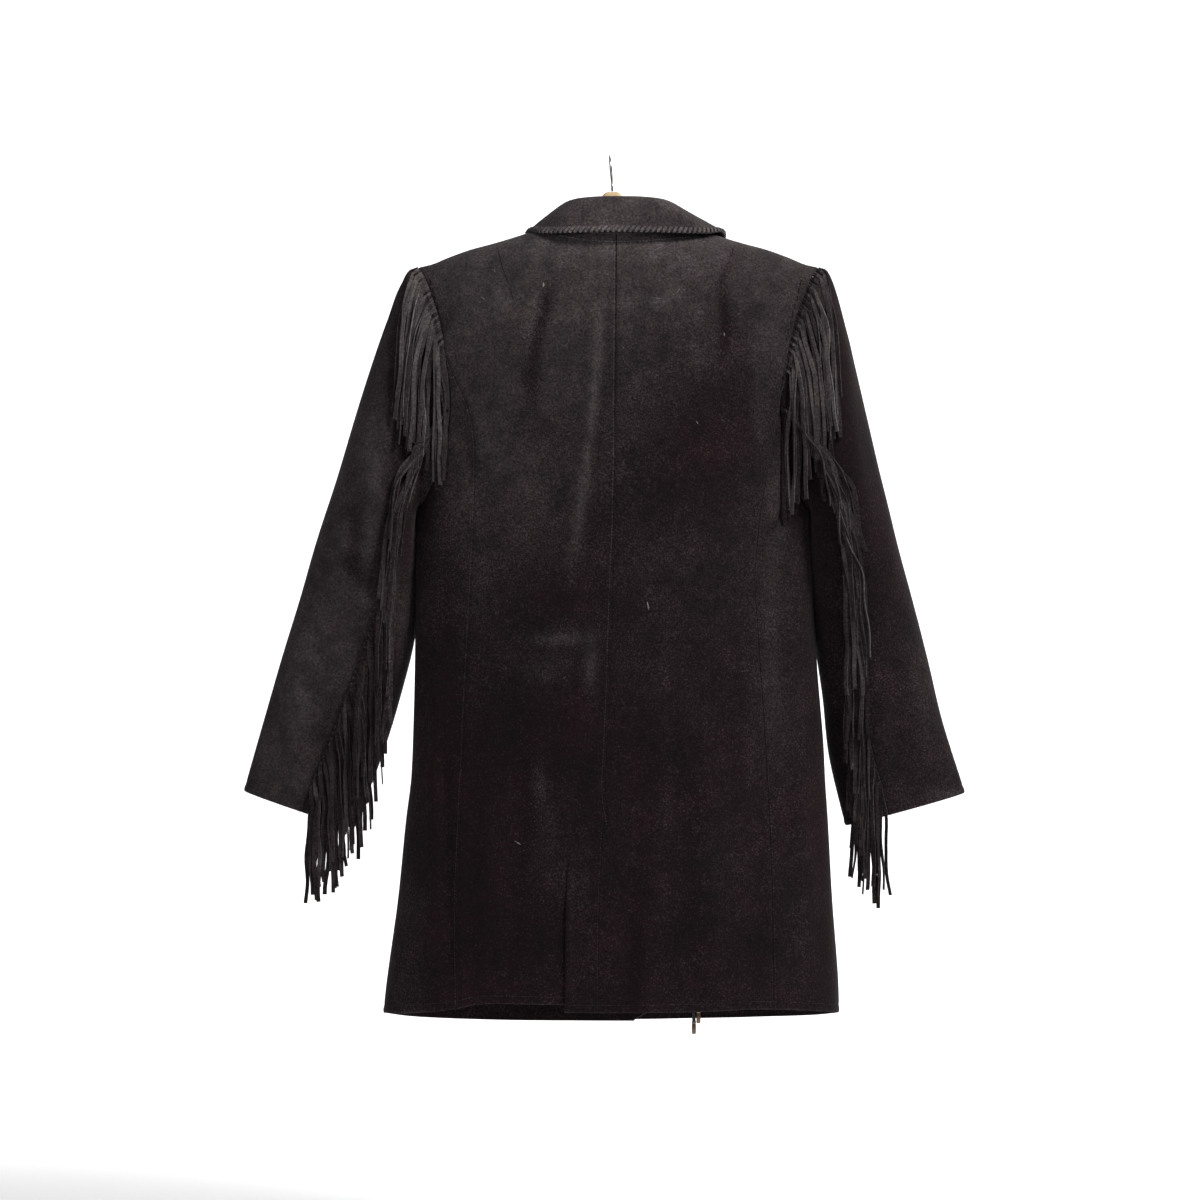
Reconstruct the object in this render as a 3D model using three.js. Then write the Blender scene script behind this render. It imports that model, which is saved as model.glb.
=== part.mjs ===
// A long suede jacket with fringed sleeves, shut with buttons and hung on a wooden hanger.
// Millimetres, +Z up. The front faces -Y, the back faces +Y, and the wearer's left is +X.
// The origin is the inside top of the hanger's hook, where a rail holds it.

import * as THREE from "three";

// Cloth and seams
const CLOTH = 2; // thickness of the suede
const SEAM_EASE = 0.2; // each panel stops this far short of a seam line
const LAID_ON = 3; // how far a layer's outside stands over the layer under it
const FRONT_LAP = 6.2; // how far the right front stands over the left front, with the left lapel between
const VENT_LAP_LIFT = 3.2; // how far the right back stands over the left back at the vent
const ROUNDNESS = 2.4; // exponent of the body's rounded plan, 2 is an ellipse
const SLEEVE_ROUNDNESS = 2.2;

// Plan of the body at each height: its centre, half its width, and its depth behind and before the side seams
const BODY = [
  { z: -40, centre: -9, half: 224, back: 60, front: 64 },
  { z: -119, centre: -9, half: 223, back: 62, front: 66 },
  { z: -200, centre: -7.5, half: 219, back: 65, front: 70 },
  { z: -300, centre: -5, half: 215.5, back: 68, front: 76 },
  { z: -391, centre: -3.2, half: 212.8, back: 68, front: 80 },
  { z: -543, centre: -6.2, half: 216.8, back: 63, front: 73 },
  { z: -629, centre: -8.6, half: 221.4, back: 65, front: 72 },
  { z: -672, centre: -8.6, half: 223.5, back: 66, front: 72 },
  { z: -715, centre: -7.4, half: 227.6, back: 67, front: 73 },
  { z: -802, centre: -5.4, half: 234.4, back: 69, front: 74 },
  { z: -888, centre: -2.7, half: 243.5, back: 72, front: 75 },
  { z: -950, centre: 0, half: 247.5, back: 74, front: 76 },
];

// Height of the shoulder line, by distance from the body's centre; inside the neck it only shapes the rise
const SHOULDER = [
  { reach: 0, z: -55 },
  { reach: 40, z: -62 },
  { reach: 71, z: -72.8 },
  { reach: 110, z: -85.5 },
  { reach: 135, z: -93 },
  { reach: 161, z: -100 },
  { reach: 187, z: -109.5 },
  { reach: 200, z: -115 },
  { reach: 217.4, z: -119.2 },
  { reach: 232, z: -124 },
];
const NECK_REACH = 71;
const RISE_AT_NECK = 150; // drop over which the body swells to its full depth
const RISE_AT_TIP = 105;

// Armhole from the shoulder tip down to the underarm: distance from the body's centre, behind and before
const ARMHOLE = [
  { z: -119.2, back: 217.4, front: 217.4 },
  { z: -123, back: 213.5, front: 213.5 },
  { z: -130, back: 209, front: 209 },
  { z: -141, back: 204, front: 203 },
  { z: -156, back: 198.5, front: 196 },
  { z: -174, back: 192, front: 188 },
  { z: -196, back: 186.5, front: 181 },
  { z: -220, back: 182, front: 175 },
  { z: -247, back: 177.5, front: 171 },
  { z: -274, back: 176, front: 170 },
  { z: -301, back: 178.5, front: 173 },
  { z: -328, back: 184, front: 180 },
  { z: -353, back: 193, front: 190.5 },
  { z: -374, back: 204, front: 203 },
  { z: -388, back: 212.9, front: 212.9 },
];
const SIDE_BACK_STEP = 7; // the armhole row where the curved back seam starts
const HIND_STEP = 9; // the armhole row where the sleeve's hind-arm seam starts
const FORE_STEP = 10; // the armhole row, before, where the sleeve's fore-arm seam starts

// Seams of the back: centre back, and the curved ones on the wearer's left and right
const BACK_SEAMS = [
  { z: -89, centre: -6.9, left: 178, right: -192 },
  { z: -220, centre: -6.2, left: 174.9, right: -189.1 },
  { z: -250, centre: -5.9, left: 160, right: -182 },
  { z: -292, centre: -5.6, left: 147, right: -176 },
  { z: -376, centre: -5.1, left: 145.6, right: -162 },
  { z: -441, centre: -2.4, left: 148.2, right: -154 },
  { z: -505, centre: -0.2, left: 151.5, right: -157 },
  { z: -605, centre: 3.1, left: 156.5, right: -163.5 },
  { z: -663, centre: 6.1, left: 158.5, right: -166.5 },
  { z: -730, centre: 7.4, left: 161, right: -169.6 },
  { z: -805, centre: 10.8, left: 163.6, right: -171.5 },
  { z: -915, centre: 11.4, left: 161.8, right: -172.8 },
];

// Hem height by turn round the body, 0 at the centre back and 180 at the centre front
const HEM = [
  { turn: 0, left: -906.5, right: -913.6 },
  { turn: 20, left: -905.3, right: -913 },
  { turn: 35, left: -906, right: -911.3 },
  { turn: 42, left: -911.5, right: -911.5 },
  { turn: 60, left: -918, right: -915.5 },
  { turn: 90, left: -923.3, right: -923.3 },
  { turn: 120, left: -934, right: -933 },
  { turn: 150, left: -941, right: -939.5 },
  { turn: 180, left: -943, right: -942.5 },
  { turn: 200, left: -942.5, right: -942.5 },
];

// Heights of the rows of every body panel, from above the hem to the start of the curved back seams
const ROW_LEVELS = [-890, -850, -800, -757, -738, -718, -680, -630, -575, -515, -455, -400, -340, -280, -220];
const UPPER_COLUMNS = { neck: 3, shoulder: 5 };
const FRONT_LIFT_TURNS = [100, 150]; // turns between which a front gains its lift over the other one
const CURVED_SEAM_HEM_TURN = 42; // about where the curved back seams meet the hem
const BACK_ROW_CROWDING = 1.4; // how the rows of a back crowd toward its neckline
const ROLL_ROW_CROWDING = 1.35; // how the rows of a front crowd toward its neck

// Neckline at the back, from the centre to the neck end of the shoulder
const NECKLINE = [
  { reach: 0, z: -89 },
  { reach: 27, z: -87 },
  { reach: 52, z: -82 },
  { reach: 71, z: -72.8 },
];

// Vent: the right back laps over the left back by this much below these heights
const VENT_TOP = -718;
const VENT_FULL = -738;
const VENT_WIDTH = 36;
const VENT_LIFT_FADE = 90; // height over the vent in which that lift fades out

// Fronts: their edges cross the centre, and the lapels roll from the neck to the break
const FRONT_EDGE = { left: -52, right: 30 };
const ROLL_BREAK_Z = -372;
const HEM_CORNER = 26; // size of the rounded corner at the hem
const HEM_CORNER_RISE = 0.8; // height of that corner as a share of its width
const CENTRE_FRONT_HEM = HEM[8];
const NECK_END = SHOULDER[2];
const ROLL_GAP = 0.6; // between a lapel's inner edge and its roll line
const FRONT_COLUMNS = 7;

// Lapel rows down the roll line: its outer edge by distance from the centre
const LAPEL = [
  { roll: -134, reach: 98, z: -141 },
  { roll: -162, reach: 112, z: -154 },
  { roll: -200, reach: 101, z: -199 },
  { roll: -240, reach: 82, z: -244 },
  { roll: -280, reach: 60, z: -287 },
  { roll: -320, reach: 33, z: -329 },
  { roll: -360, reach: 1, z: -364 },
];
const LAPEL_COLUMNS = 4;

// Collar from the centre back round to its front end: seam, fold and outer edge, as reach, depth and height
const COLLAR = [
  { base: [0, 40.5, -88.2], fold: [0, 34, -46.2], edge: [0, 53, -85] },
  { base: [27, 36, -86.2], fold: [25, 31, -46.2], edge: [34, 50, -85] },
  { base: [51, 25.5, -81], fold: [46, 22, -47.5], edge: [66, 39, -84.5] },
  { base: [66, 10, -73.5], fold: [58.5, 8, -51], edge: [89, 23, -82.5] },
  { base: [69, -4, -71.5], fold: [65, -9, -58], edge: [104, 1, -79] },
  { base: [63, -26, -80], fold: [67, -32, -76], edge: [107, -21, -87] },
  { base: [56, -38, -100], fold: [61, -47, -97], edge: [108, -38, -104] },
  { base: [49, -48, -122], fold: [54, -58, -119], edge: [106, -52, -127] },
];
const COLLAR_SHIFT = { fold: 0, edge: -7 }; // how far the worn collar sits to the wearer's right
const COLLAR_STEPS = 2; // grid steps for each row of the table
const COLLAR_BULGE = 3.5; // how far the fall swells over its straight line
const COLLAR_CREST = 1.5; // how far the fold swells
const COLLAR_HOLLOW = { middle: -1, high: -0.5 }; // how far the stand sinks
const COLLAR_STAND = { middle: 0.5, high: 0.88 }; // places on the stand, as shares of it
const COLLAR_FALL = { shoulder: 0.16, middle: 0.55 }; // places on the fall, as shares of it
const COLLAR_SHOULDER_BULGE = 3.15;
const COLLAR_SHIFT_ROWS = 3; // table rows over which the shift grows
const COLLAR_LAP_ROWS = [4, 6.5]; // table rows over which the right end climbs onto the right front
const COLLAR_SPREAD = 2; // how much wider the fall lies on the right

// Sleeves from the armhole to the cuff: the outer and the inner edge, half the depth and where its middle lies
const SLEEVES = {
  left: [
    { outer: [209.1, -118.5], inner: [211.5, -388], depth: 44, middle: 0 },
    { outer: [222.1, -133.3], inner: [213, -389], depth: 47, middle: 0 },
    { outer: [235.1, -165.8], inner: [213.2, -392], depth: 52, middle: -1 },
    { outer: [253.5, -217.8], inner: [213.2, -397], depth: 57, middle: -3 },
    { outer: [275.7, -282.8], inner: [213.2, -407.3], depth: 60, middle: -5 },
    { outer: [295.7, -347.8], inner: [213.2, -425.7], depth: 60, middle: -8 },
    { outer: [317.4, -412.8], inner: [213.4, -453.9], depth: 57, middle: -12 },
    { outer: [336.9, -477.8], inner: [214, -514.7], depth: 47, middle: -18 },
    { outer: [357.5, -542.8], inner: [227.8, -583.1], depth: 39, middle: -24 },
    { outer: [377, -607.8], inner: [248.4, -648.2], depth: 31, middle: -31 },
    { outer: [400, -686], inner: [279, -727], depth: 24, middle: -38 },
  ],
  right: [
    { outer: [-227, -118.5], inner: [-217.5, -388], depth: 44, middle: 0 },
    { outer: [-235.1, -133.3], inner: [-220.5, -389], depth: 47, middle: 0 },
    { outer: [-246, -165.8], inner: [-221.5, -392], depth: 52, middle: -1 },
    { outer: [-260, -217.8], inner: [-222.5, -397], depth: 57, middle: -3 },
    { outer: [-277.4, -282.8], inner: [-222.5, -407.3], depth: 60, middle: -5 },
    { outer: [-293.6, -347.8], inner: [-222.5, -425.7], depth: 60, middle: -8 },
    { outer: [-309.9, -412.8], inner: [-223.6, -453.9], depth: 57, middle: -12 },
    { outer: [-328.3, -477.8], inner: [-225.7, -514.7], depth: 47, middle: -18 },
    { outer: [-345.6, -542.8], inner: [-231.2, -583.1], depth: 40, middle: -24 },
    { outer: [-361.9, -607.8], inner: [-238.8, -648.2], depth: 33, middle: -31 },
    { outer: [-388, -688], inner: [-257, -724], depth: 25, middle: -38 },
  ],
};
const SLEEVE_ROWS = [0, 0.5, 1.1, 1.8, 2.6, 3.4, 4.3, 5.2, 6.1, 7, 8, 9, 10];
const CAP_BLEND = 5; // sleeve rows over which the armhole's curve turns into a rounded tube
const CAP_GAP = 0.35; // between the armhole and the sleeve sewn into it
const CAP_STEP_OUT = 6; // how far each sleeve row moves out from the armhole's own curve
const CAP_TURN_ROWS = 1.5; // sleeve rows over which the seams reach their own turns

// Turn of the hind-arm and fore-arm seams round the sleeve, 0 at its outer edge and 180 at its inner edge
const HIND_SEAM = [
  { row: 0, left: 100, right: 100 },
  { row: 2, left: 112, right: 104 },
  { row: 4, left: 122, right: 104 },
  { row: 5, left: 126, right: 106 },
  { row: 6, left: 122, right: 105 },
  { row: 7, left: 108, right: 100 },
  { row: 8, left: 102, right: 105 },
  { row: 9, left: 98, right: 108 },
  { row: 10, left: 94, right: 106 },
];
const FORE_SEAM_TURN = 225;

// Fringe: the reach of the hanging strands, as the far and the near side of it at each height
const FRINGE_THICKNESS = 4;
const FRINGE_CLEARANCE = 2.6;
const FRINGE_SEAT = 0.8; // at the corners of its sewn edge
const FRINGE_SWING = 3; // how far a strand may swing back under itself from one row to the next
const FRINGE_COLUMNS = 5;
const FRINGES = {
  armhole_fringe_left: [
    { z: -126, far: 212, near: 203.5 },
    { z: -147, far: 219.5, near: 197 },
    { z: -169, far: 225, near: 188 },
    { z: -195, far: 227, near: 181 },
    { z: -222, far: 228, near: 177 },
    { z: -265, far: 229, near: 173 },
    { z: -307, far: 226, near: 171.6 },
    { z: -350, far: 225, near: 171.6 },
    { z: -371, far: 225, near: 185.5 },
    { z: -387, far: 226, near: 202.5 },
  ],
  sleeve_fringe_left: [
    { z: -392, far: 236, near: 217 },
    { z: -424, far: 241.5, near: 217 },
    { z: -467, far: 251, near: 216.5 },
    { z: -499, far: 262, near: 216.5 },
    { z: -542, far: 276, near: 221 },
    { z: -585, far: 291, near: 233 },
    { z: -628, far: 308, near: 238 },
    { z: -671, far: 319, near: 247 },
    { z: -714, far: 320, near: 252 },
    { z: -757, far: 320.5, near: 283 },
    { z: -794, far: 321, near: 311 },
  ],
  armhole_fringe_right: [
    { z: -126, far: -222, near: -213.9 },
    { z: -147, far: -232, near: -209 },
    { z: -180, far: -236, near: -197 },
    { z: -222, far: -240.5, near: -185.5 },
    { z: -257, far: -245, near: -180 },
    { z: -297, far: -243, near: -177.7 },
    { z: -358, far: -245, near: -176.6 },
    { z: -371, far: -243, near: -186.2 },
    { z: -392, far: -239.5, near: -205.4 },
    { z: -414, far: -236.5, near: -222 },
  ],
  sleeve_fringe_right: [
    { z: -420, far: -276, near: -243 },
    { z: -446, far: -280, near: -249 },
    { z: -499, far: -282, near: -255 },
    { z: -542, far: -281, near: -253 },
    { z: -585, far: -279, near: -254 },
    { z: -633, far: -287, near: -254 },
    { z: -673, far: -294, near: -254 },
    { z: -714, far: -304, near: -257.5 },
    { z: -743, far: -305, near: -264 },
    { z: -767, far: -305.5, near: -281 },
    { z: -789, far: -306, near: -300 },
  ],
};

// Buttons on the right front, under the break of the lapels
const BUTTON = { radius: 11, thickness: 3.5, x: -9, clearance: 0.4, sides: 24 };
const BUTTON_HEIGHTS = [-395, -480, -565];

// Hanger: a shaped wooden bar under the shoulders, with a wire hook turned across it
const HANGER = [
  { reach: 0, top: -37, bottom: -84, thickness: 11 },
  { reach: 9, top: -39, bottom: -84, thickness: 11 },
  { reach: 24, top: -58, bottom: -86, thickness: 11 },
  { reach: 48, top: -71.5, bottom: -93, thickness: 9 },
  { reach: 71, top: -77, bottom: -101, thickness: 8.5 },
  { reach: 110, top: -88.4, bottom: -114, thickness: 8 },
  { reach: 161, top: -103, bottom: -128, thickness: 8 },
  { reach: 187, top: -112.5, bottom: -136, thickness: 8 },
  { reach: 200, top: -118.2, bottom: -140, thickness: 7.5 },
  { reach: 207, top: -124, bottom: -136, thickness: 4.5 },
];
const HANGER_CENTRE = -2.5;
const HANGER_ARMS = { centre: -9, start: 20, end: 71 }; // the arms' own centre, reached over these distances
const HANGER_SIDES = 12;
const HOOK = { wire: 1.4, radius: 15, lean: -2.5, root: -36.6, end: 195, points: 22, rings: 30 };

// Two thin laces inside the right front: points from the stitched end down to the metal tip
const LACE_DIAMETER = 4;
const LACE_RINGS = 12;
const TUBE_SIDES = 8;
const LACE_ROUTES = {
  lace_long: [
    [-92.9, -73.3, -846],
    [-92.9, -73.3, -853],
    [-92.9, -73.4, -870],
    [-93, -73.6, -890],
    [-92.8, -73.9, -910],
    [-92.9, -74.2, -928],
    [-93, -74.5, -942.4],
  ],
  lace_short: [
    [-98, -72.4, -846],
    [-98, -72.4, -853],
    [-98, -72.4, -868],
    [-97.9, -72.5, -886],
    [-98.1, -72.7, -904],
    [-98, -72.8, -918],
    [-98, -73, -930.4],
  ],
};
const TIP = { radius: 2.4, length: 14.6, gap: 0.3, sides: 12 };

const SUEDE = material(0x2a2324, 0.95, 0);
const SUEDE_UPPER = material(0x383334, 0.95, 0);
const FRINGE_SUEDE = material(0x332d2f, 0.92, 0);
const BUTTON_PLASTIC = material(0x1c1718, 0.4, 0);
const WOOD = material(0xa88a5e, 0.55, 0);
const STEEL = material(0x8d8f92, 0.3, 1);

const SIDES = { left: 1, right: -1 };

function material(color, roughness, metalness) {
  return new THREE.MeshStandardMaterial({ color, roughness, metalness });
}

// Value of a column between the rows of a table, along a smooth curve through the rows
function lookUp(table, key, column, at) {
  const falls = table[table.length - 1][key] < table[0][key];
  const rows = falls ? [...table].reverse() : table;
  const last = rows.length - 1;
  const clamped = THREE.MathUtils.clamp(at, rows[0][key], rows[last][key]);
  let low = 0;
  while (low < last - 1 && rows[low + 1][key] <= clamped) low += 1;
  const slope = (a, b) => (rows[b][column] - rows[a][column]) / (rows[b][key] - rows[a][key]);
  const tangent = (i) => slope(Math.max(i - 1, 0), Math.min(i + 1, last));
  const span = rows[low + 1][key] - rows[low][key];
  const t = (clamped - rows[low][key]) / span;
  const [start, end] = [rows[low][column], rows[low + 1][column]];
  const pull = (2 * t ** 3 - 3 * t ** 2 + 1) * start + (3 * t ** 2 - 2 * t ** 3) * end;
  const push = (t ** 3 - 2 * t ** 2 + t) * tangent(low) + (t ** 3 - t ** 2) * tangent(low + 1);
  return pull + push * span;
}

function mix(a, b, t) {
  return a + (b - a) * t;
}

function ease(low, high, value) {
  return THREE.MathUtils.smoothstep(value, low, high);
}

// How much of its full depth the body has at this drop under the shoulder line
function rise(reach, z) {
  const drop = Math.max(lookUp(SHOULDER, "reach", "z", Math.abs(reach)) - z, 0);
  const height = mix(RISE_AT_NECK, RISE_AT_TIP, ease(NECK_REACH, ARMHOLE[0].back, Math.abs(reach)));
  const left = Math.max(1 - drop / height, 0);
  return Math.sqrt(1 - left * left);
}

// A point on the outside of the body, by turn in degrees from the centre back, and height
function bodyPoint(side, turn, z, lift = 0) {
  const angle = THREE.MathUtils.degToRad(turn);
  const across = Math.sin(angle);
  const behind = Math.cos(angle) >= 0;
  const half = lookUp(BODY, "z", "half", z);
  const raised = lift * (behind ? Math.cos(angle) : ease(...FRONT_LIFT_TURNS, turn));
  const depth = lookUp(BODY, "z", behind ? "back" : "front", z);
  const crown = Math.max(1 - Math.abs(across) ** ROUNDNESS, 0) ** (1 / ROUNDNESS);
  const y = depth * crown * rise(half * across, z) + raised;
  const x = lookUp(BODY, "z", "centre", z) + SIDES[side] * half * across;
  return new THREE.Vector3(x, behind ? y : -y, z);
}

// The direction out of the body's surface there
function bodyNormal(side, turn, z, lift) {
  const step = 0.4;
  const round = bodyPoint(side, turn + step, z, lift).sub(bodyPoint(side, turn - step, z, lift));
  const up = bodyPoint(side, turn, z + step, lift).sub(bodyPoint(side, turn, z - step, lift));
  return round.cross(up).multiplyScalar(SIDES[side] > 0 ? -1 : 1).normalize();
}

// Turn of a point on the back (or on the front) whose x and height are known
function turnAt(side, x, z, onFront = false) {
  const half = lookUp(BODY, "z", "half", z);
  const ratio = (SIDES[side] * (x - lookUp(BODY, "z", "centre", z))) / half;
  const turn = THREE.MathUtils.radToDeg(Math.asin(THREE.MathUtils.clamp(ratio, -1, 1)));
  return onFront ? 180 - turn : turn;
}

function hemHeight(side, turn) {
  return lookUp(HEM, "turn", side, Math.abs(turn));
}

// A grid of turns and heights that fills four edges, each a list of [turn, height]
function fillEdges(bottom, top, start, end) {
  const rows = start.length;
  const columns = bottom.length;
  return start.map((_, i) =>
    bottom.map((__, j) => {
      const v = i / (rows - 1);
      const u = j / (columns - 1);
      return [0, 1].map((k) => {
        const ruled = mix(start[i][k], end[i][k], u) + mix(bottom[j][k], top[j][k], v);
        const low = mix(bottom[0][k], bottom[columns - 1][k], u);
        const high = mix(top[0][k], top[columns - 1][k], u);
        return ruled - mix(low, high, v);
      });
    }),
  );
}

// Moves the edges of a grid of points a little into the panel, so that seams stay open
function easeEdges(points) {
  const rows = points.length - 1;
  const columns = points[0].length - 1;
  const moved = points.map((row) => row.map((point) => point.clone()));
  for (let i = 0; i <= rows; i += 1) {
    for (let j = 0; j <= columns; j += 1) {
      const inner = points[THREE.MathUtils.clamp(i, 1, rows - 1)][THREE.MathUtils.clamp(j, 1, columns - 1)];
      const edge = i === 0 || j === 0 || i === rows || j === columns;
      if (edge) moved[i][j].add(inner.clone().sub(points[i][j]).setLength(SEAM_EASE));
    }
  }
  return moved;
}

// A closed wall between a grid of outside points and the same grid moved in along the given directions
function wall(outside, directions, thickness = CLOTH) {
  const rows = outside.length;
  const columns = outside[0].length;
  const inside = outside.map((row, i) =>
    row.map((point, j) => point.clone().addScaledVector(directions[i][j], -thickness)),
  );
  const positions = [...outside.flat(), ...inside.flat()].flatMap((point) => point.toArray());
  const index = [];
  const outer = (i, j) => i * columns + j;
  const inner = (i, j) => rows * columns + i * columns + j;
  const quad = (a, b, c, d) => index.push(a, b, c, a, c, d);
  for (let i = 0; i < rows - 1; i += 1) {
    for (let j = 0; j < columns - 1; j += 1) {
      quad(outer(i, j), outer(i, j + 1), outer(i + 1, j + 1), outer(i + 1, j));
      quad(inner(i, j), inner(i + 1, j), inner(i + 1, j + 1), inner(i, j + 1));
    }
  }
  for (let j = 0; j < columns - 1; j += 1) {
    quad(outer(0, j + 1), outer(0, j), inner(0, j), inner(0, j + 1));
    quad(outer(rows - 1, j), outer(rows - 1, j + 1), inner(rows - 1, j + 1), inner(rows - 1, j));
  }
  for (let i = 0; i < rows - 1; i += 1) {
    quad(outer(i, 0), outer(i + 1, 0), inner(i + 1, 0), inner(i, 0));
    quad(outer(i, columns - 1), inner(i, columns - 1), inner(i + 1, columns - 1), outer(i + 1, columns - 1));
  }
  return solid(positions, index);
}

// A closed mesh whose faces point out, whichever way its grid ran
function solid(positions, index) {
  const corner = (i) => new THREE.Vector3().fromArray(positions, index[i] * 3);
  let volume = 0;
  for (let i = 0; i < index.length; i += 3) volume += corner(i).dot(corner(i + 1).cross(corner(i + 2)));
  const geometry = new THREE.BufferGeometry();
  geometry.setAttribute("position", new THREE.Float32BufferAttribute(positions, 3));
  geometry.setIndex(volume < 0 ? [...index].reverse() : index);
  geometry.computeVertexNormals();
  return geometry;
}

// A panel of the body from its grid of turns and heights
function bodyPanel(side, grid, liftAt = () => 0, topIsShoulder = () => false) {
  const lastRow = grid.length - 1;
  const outside = grid.map((row, i) =>
    row.map(([turn, z], j) => {
      const point = bodyPoint(side, turn, z, liftAt(turn, z));
      if (i === lastRow && topIsShoulder(j)) point.y = 0;
      return point;
    }),
  );
  const directions = grid.map((row, i) =>
    row.map(([turn, z], j) => {
      if (i !== lastRow || !topIsShoulder(j)) return bodyNormal(side, turn, z, liftAt(turn, z));
      return new THREE.Vector3(0, 0, 1);
    }),
  );
  return { outside, geometry: wall(easeEdges(outside), directions) };
}

function armholeTurn(side, step, onFront = false) {
  const row = ARMHOLE[step];
  const ratio = row[onFront ? "front" : "back"] / lookUp(BODY, "z", "half", row.z);
  const turn = THREE.MathUtils.radToDeg(Math.asin(Math.min(ratio, 1)));
  return onFront ? 180 - turn : turn;
}

function seamTurn(side, z) {
  return turnAt(side, lookUp(BACK_SEAMS, "z", side, z), z);
}

// Rows of heights from the hem, at this turn, up to a level, spaced as ROW_LEVELS is
function sideLevels(side, turn, top) {
  const hem = hemHeight(side, turn);
  const highest = ROW_LEVELS[ROW_LEVELS.length - 1];
  return [hem, ...ROW_LEVELS.map((level) => mix(hem, top, (level - hem) / (highest - hem)))];
}

// Turn of the inner edge of a back panel: the centre seam, or the vent's folded edge
function centreTurn(side, z) {
  const seam = lookUp(BACK_SEAMS, "z", "centre", z);
  const lap = side === "right" ? VENT_WIDTH * ease(VENT_FULL, VENT_TOP, z) : VENT_WIDTH;
  const x = side === "right" ? seam + VENT_WIDTH - lap : seam;
  return turnAt(side, x, z);
}

function ventLift(side, z) {
  return side === "right" ? VENT_LAP_LIFT * (1 - ease(VENT_TOP, VENT_TOP + VENT_LIFT_FADE, z)) : 0;
}

function backPanel(side) {
  const levels = [null, ...ROW_LEVELS];
  const columns = UPPER_COLUMNS.neck + UPPER_COLUMNS.shoulder;
  const hemStart = centreTurn(side, ROW_LEVELS[0]);
  const hemEnd = seamTurn(side, hemHeight(side, CURVED_SEAM_HEM_TURN));
  const lower = levels.map((level) => {
    const start = level === null ? hemStart : centreTurn(side, level);
    const end = level === null ? hemEnd : seamTurn(side, level);
    return Array.from({ length: columns + 1 }, (_, j) => {
      const turn = mix(start, end, j / columns);
      return [turn, level === null ? hemHeight(side, turn) : level];
    });
  });
  lower[ROW_LEVELS.length][columns][0] = armholeTurn(side, SIDE_BACK_STEP);
  const seam = lower[ROW_LEVELS.length];
  const highest = ROW_LEVELS[ROW_LEVELS.length - 1];
  const start = [];
  const end = [];
  for (let step = SIDE_BACK_STEP; step >= 0; step -= 1) {
    const z = mix(NECKLINE[0].z, highest, (step / SIDE_BACK_STEP) ** BACK_ROW_CROWDING);
    start.push([centreTurn(side, z), z]);
    end.push([armholeTurn(side, step), ARMHOLE[step].z]);
  }
  const upper = fillEdges(seam, backTop(side), start, end);
  const grid = [...lower, ...upper.slice(1)];
  return bodyPanel(side, grid, (_, z) => ventLift(side, z), (j) => j >= UPPER_COLUMNS.neck);
}

// The top edge of a back panel: half the neckline and then the shoulder line
function backTop(side) {
  const edge = NECKLINE.map((row, j) => {
    if (j === 0) return [centreTurn(side, row.z), row.z];
    return [reachTurn(row.reach, row.z), row.z];
  });
  for (let j = 1; j <= UPPER_COLUMNS.shoulder; j += 1) {
    const reach = mix(NECK_REACH, ARMHOLE[0].back, j / UPPER_COLUMNS.shoulder);
    const z = lookUp(SHOULDER, "reach", "z", reach);
    edge.push([reachTurn(reach, z), z]);
  }
  return edge;
}

function reachTurn(reach, z) {
  return THREE.MathUtils.radToDeg(Math.asin(reach / lookUp(BODY, "z", "half", z)));
}

function sidePanel(side) {
  const steps = ARMHOLE.length - 1 - SIDE_BACK_STEP;
  const underarm = ARMHOLE[ARMHOLE.length - 1].z;
  const hemEnd = seamTurn(side, hemHeight(side, CURVED_SEAM_HEM_TURN));
  const start = [[hemEnd, hemHeight(side, hemEnd)], ...ROW_LEVELS.map((z) => [seamTurn(side, z), z])];
  start[ROW_LEVELS.length][0] = armholeTurn(side, SIDE_BACK_STEP);
  const end = sideLevels(side, 90, underarm).map((z) => [90, z]);
  const bottom = Array.from({ length: steps + 1 }, (_, j) => {
    const turn = mix(hemEnd, 90, j / steps);
    return [turn, hemHeight(side, turn)];
  });
  const top = Array.from({ length: steps + 1 }, (_, j) => {
    const step = SIDE_BACK_STEP + j;
    return [armholeTurn(side, step), ARMHOLE[step].z];
  });
  return bodyPanel(side, fillEdges(bottom, top, start, end), (_, z) => ventLift(side, z));
}

function frontLift(side) {
  return side === "right" ? FRONT_LAP : 0;
}

// x of a lapel's roll line at a height between the neck and the break
function rollX(side, z) {
  const neck = lookUp(BODY, "z", "centre", NECK_END.z) + SIDES[side] * NECK_REACH;
  const t = (z - NECK_END.z) / (ROLL_BREAK_Z - NECK_END.z);
  return mix(neck, FRONT_EDGE[side], t);
}

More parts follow.
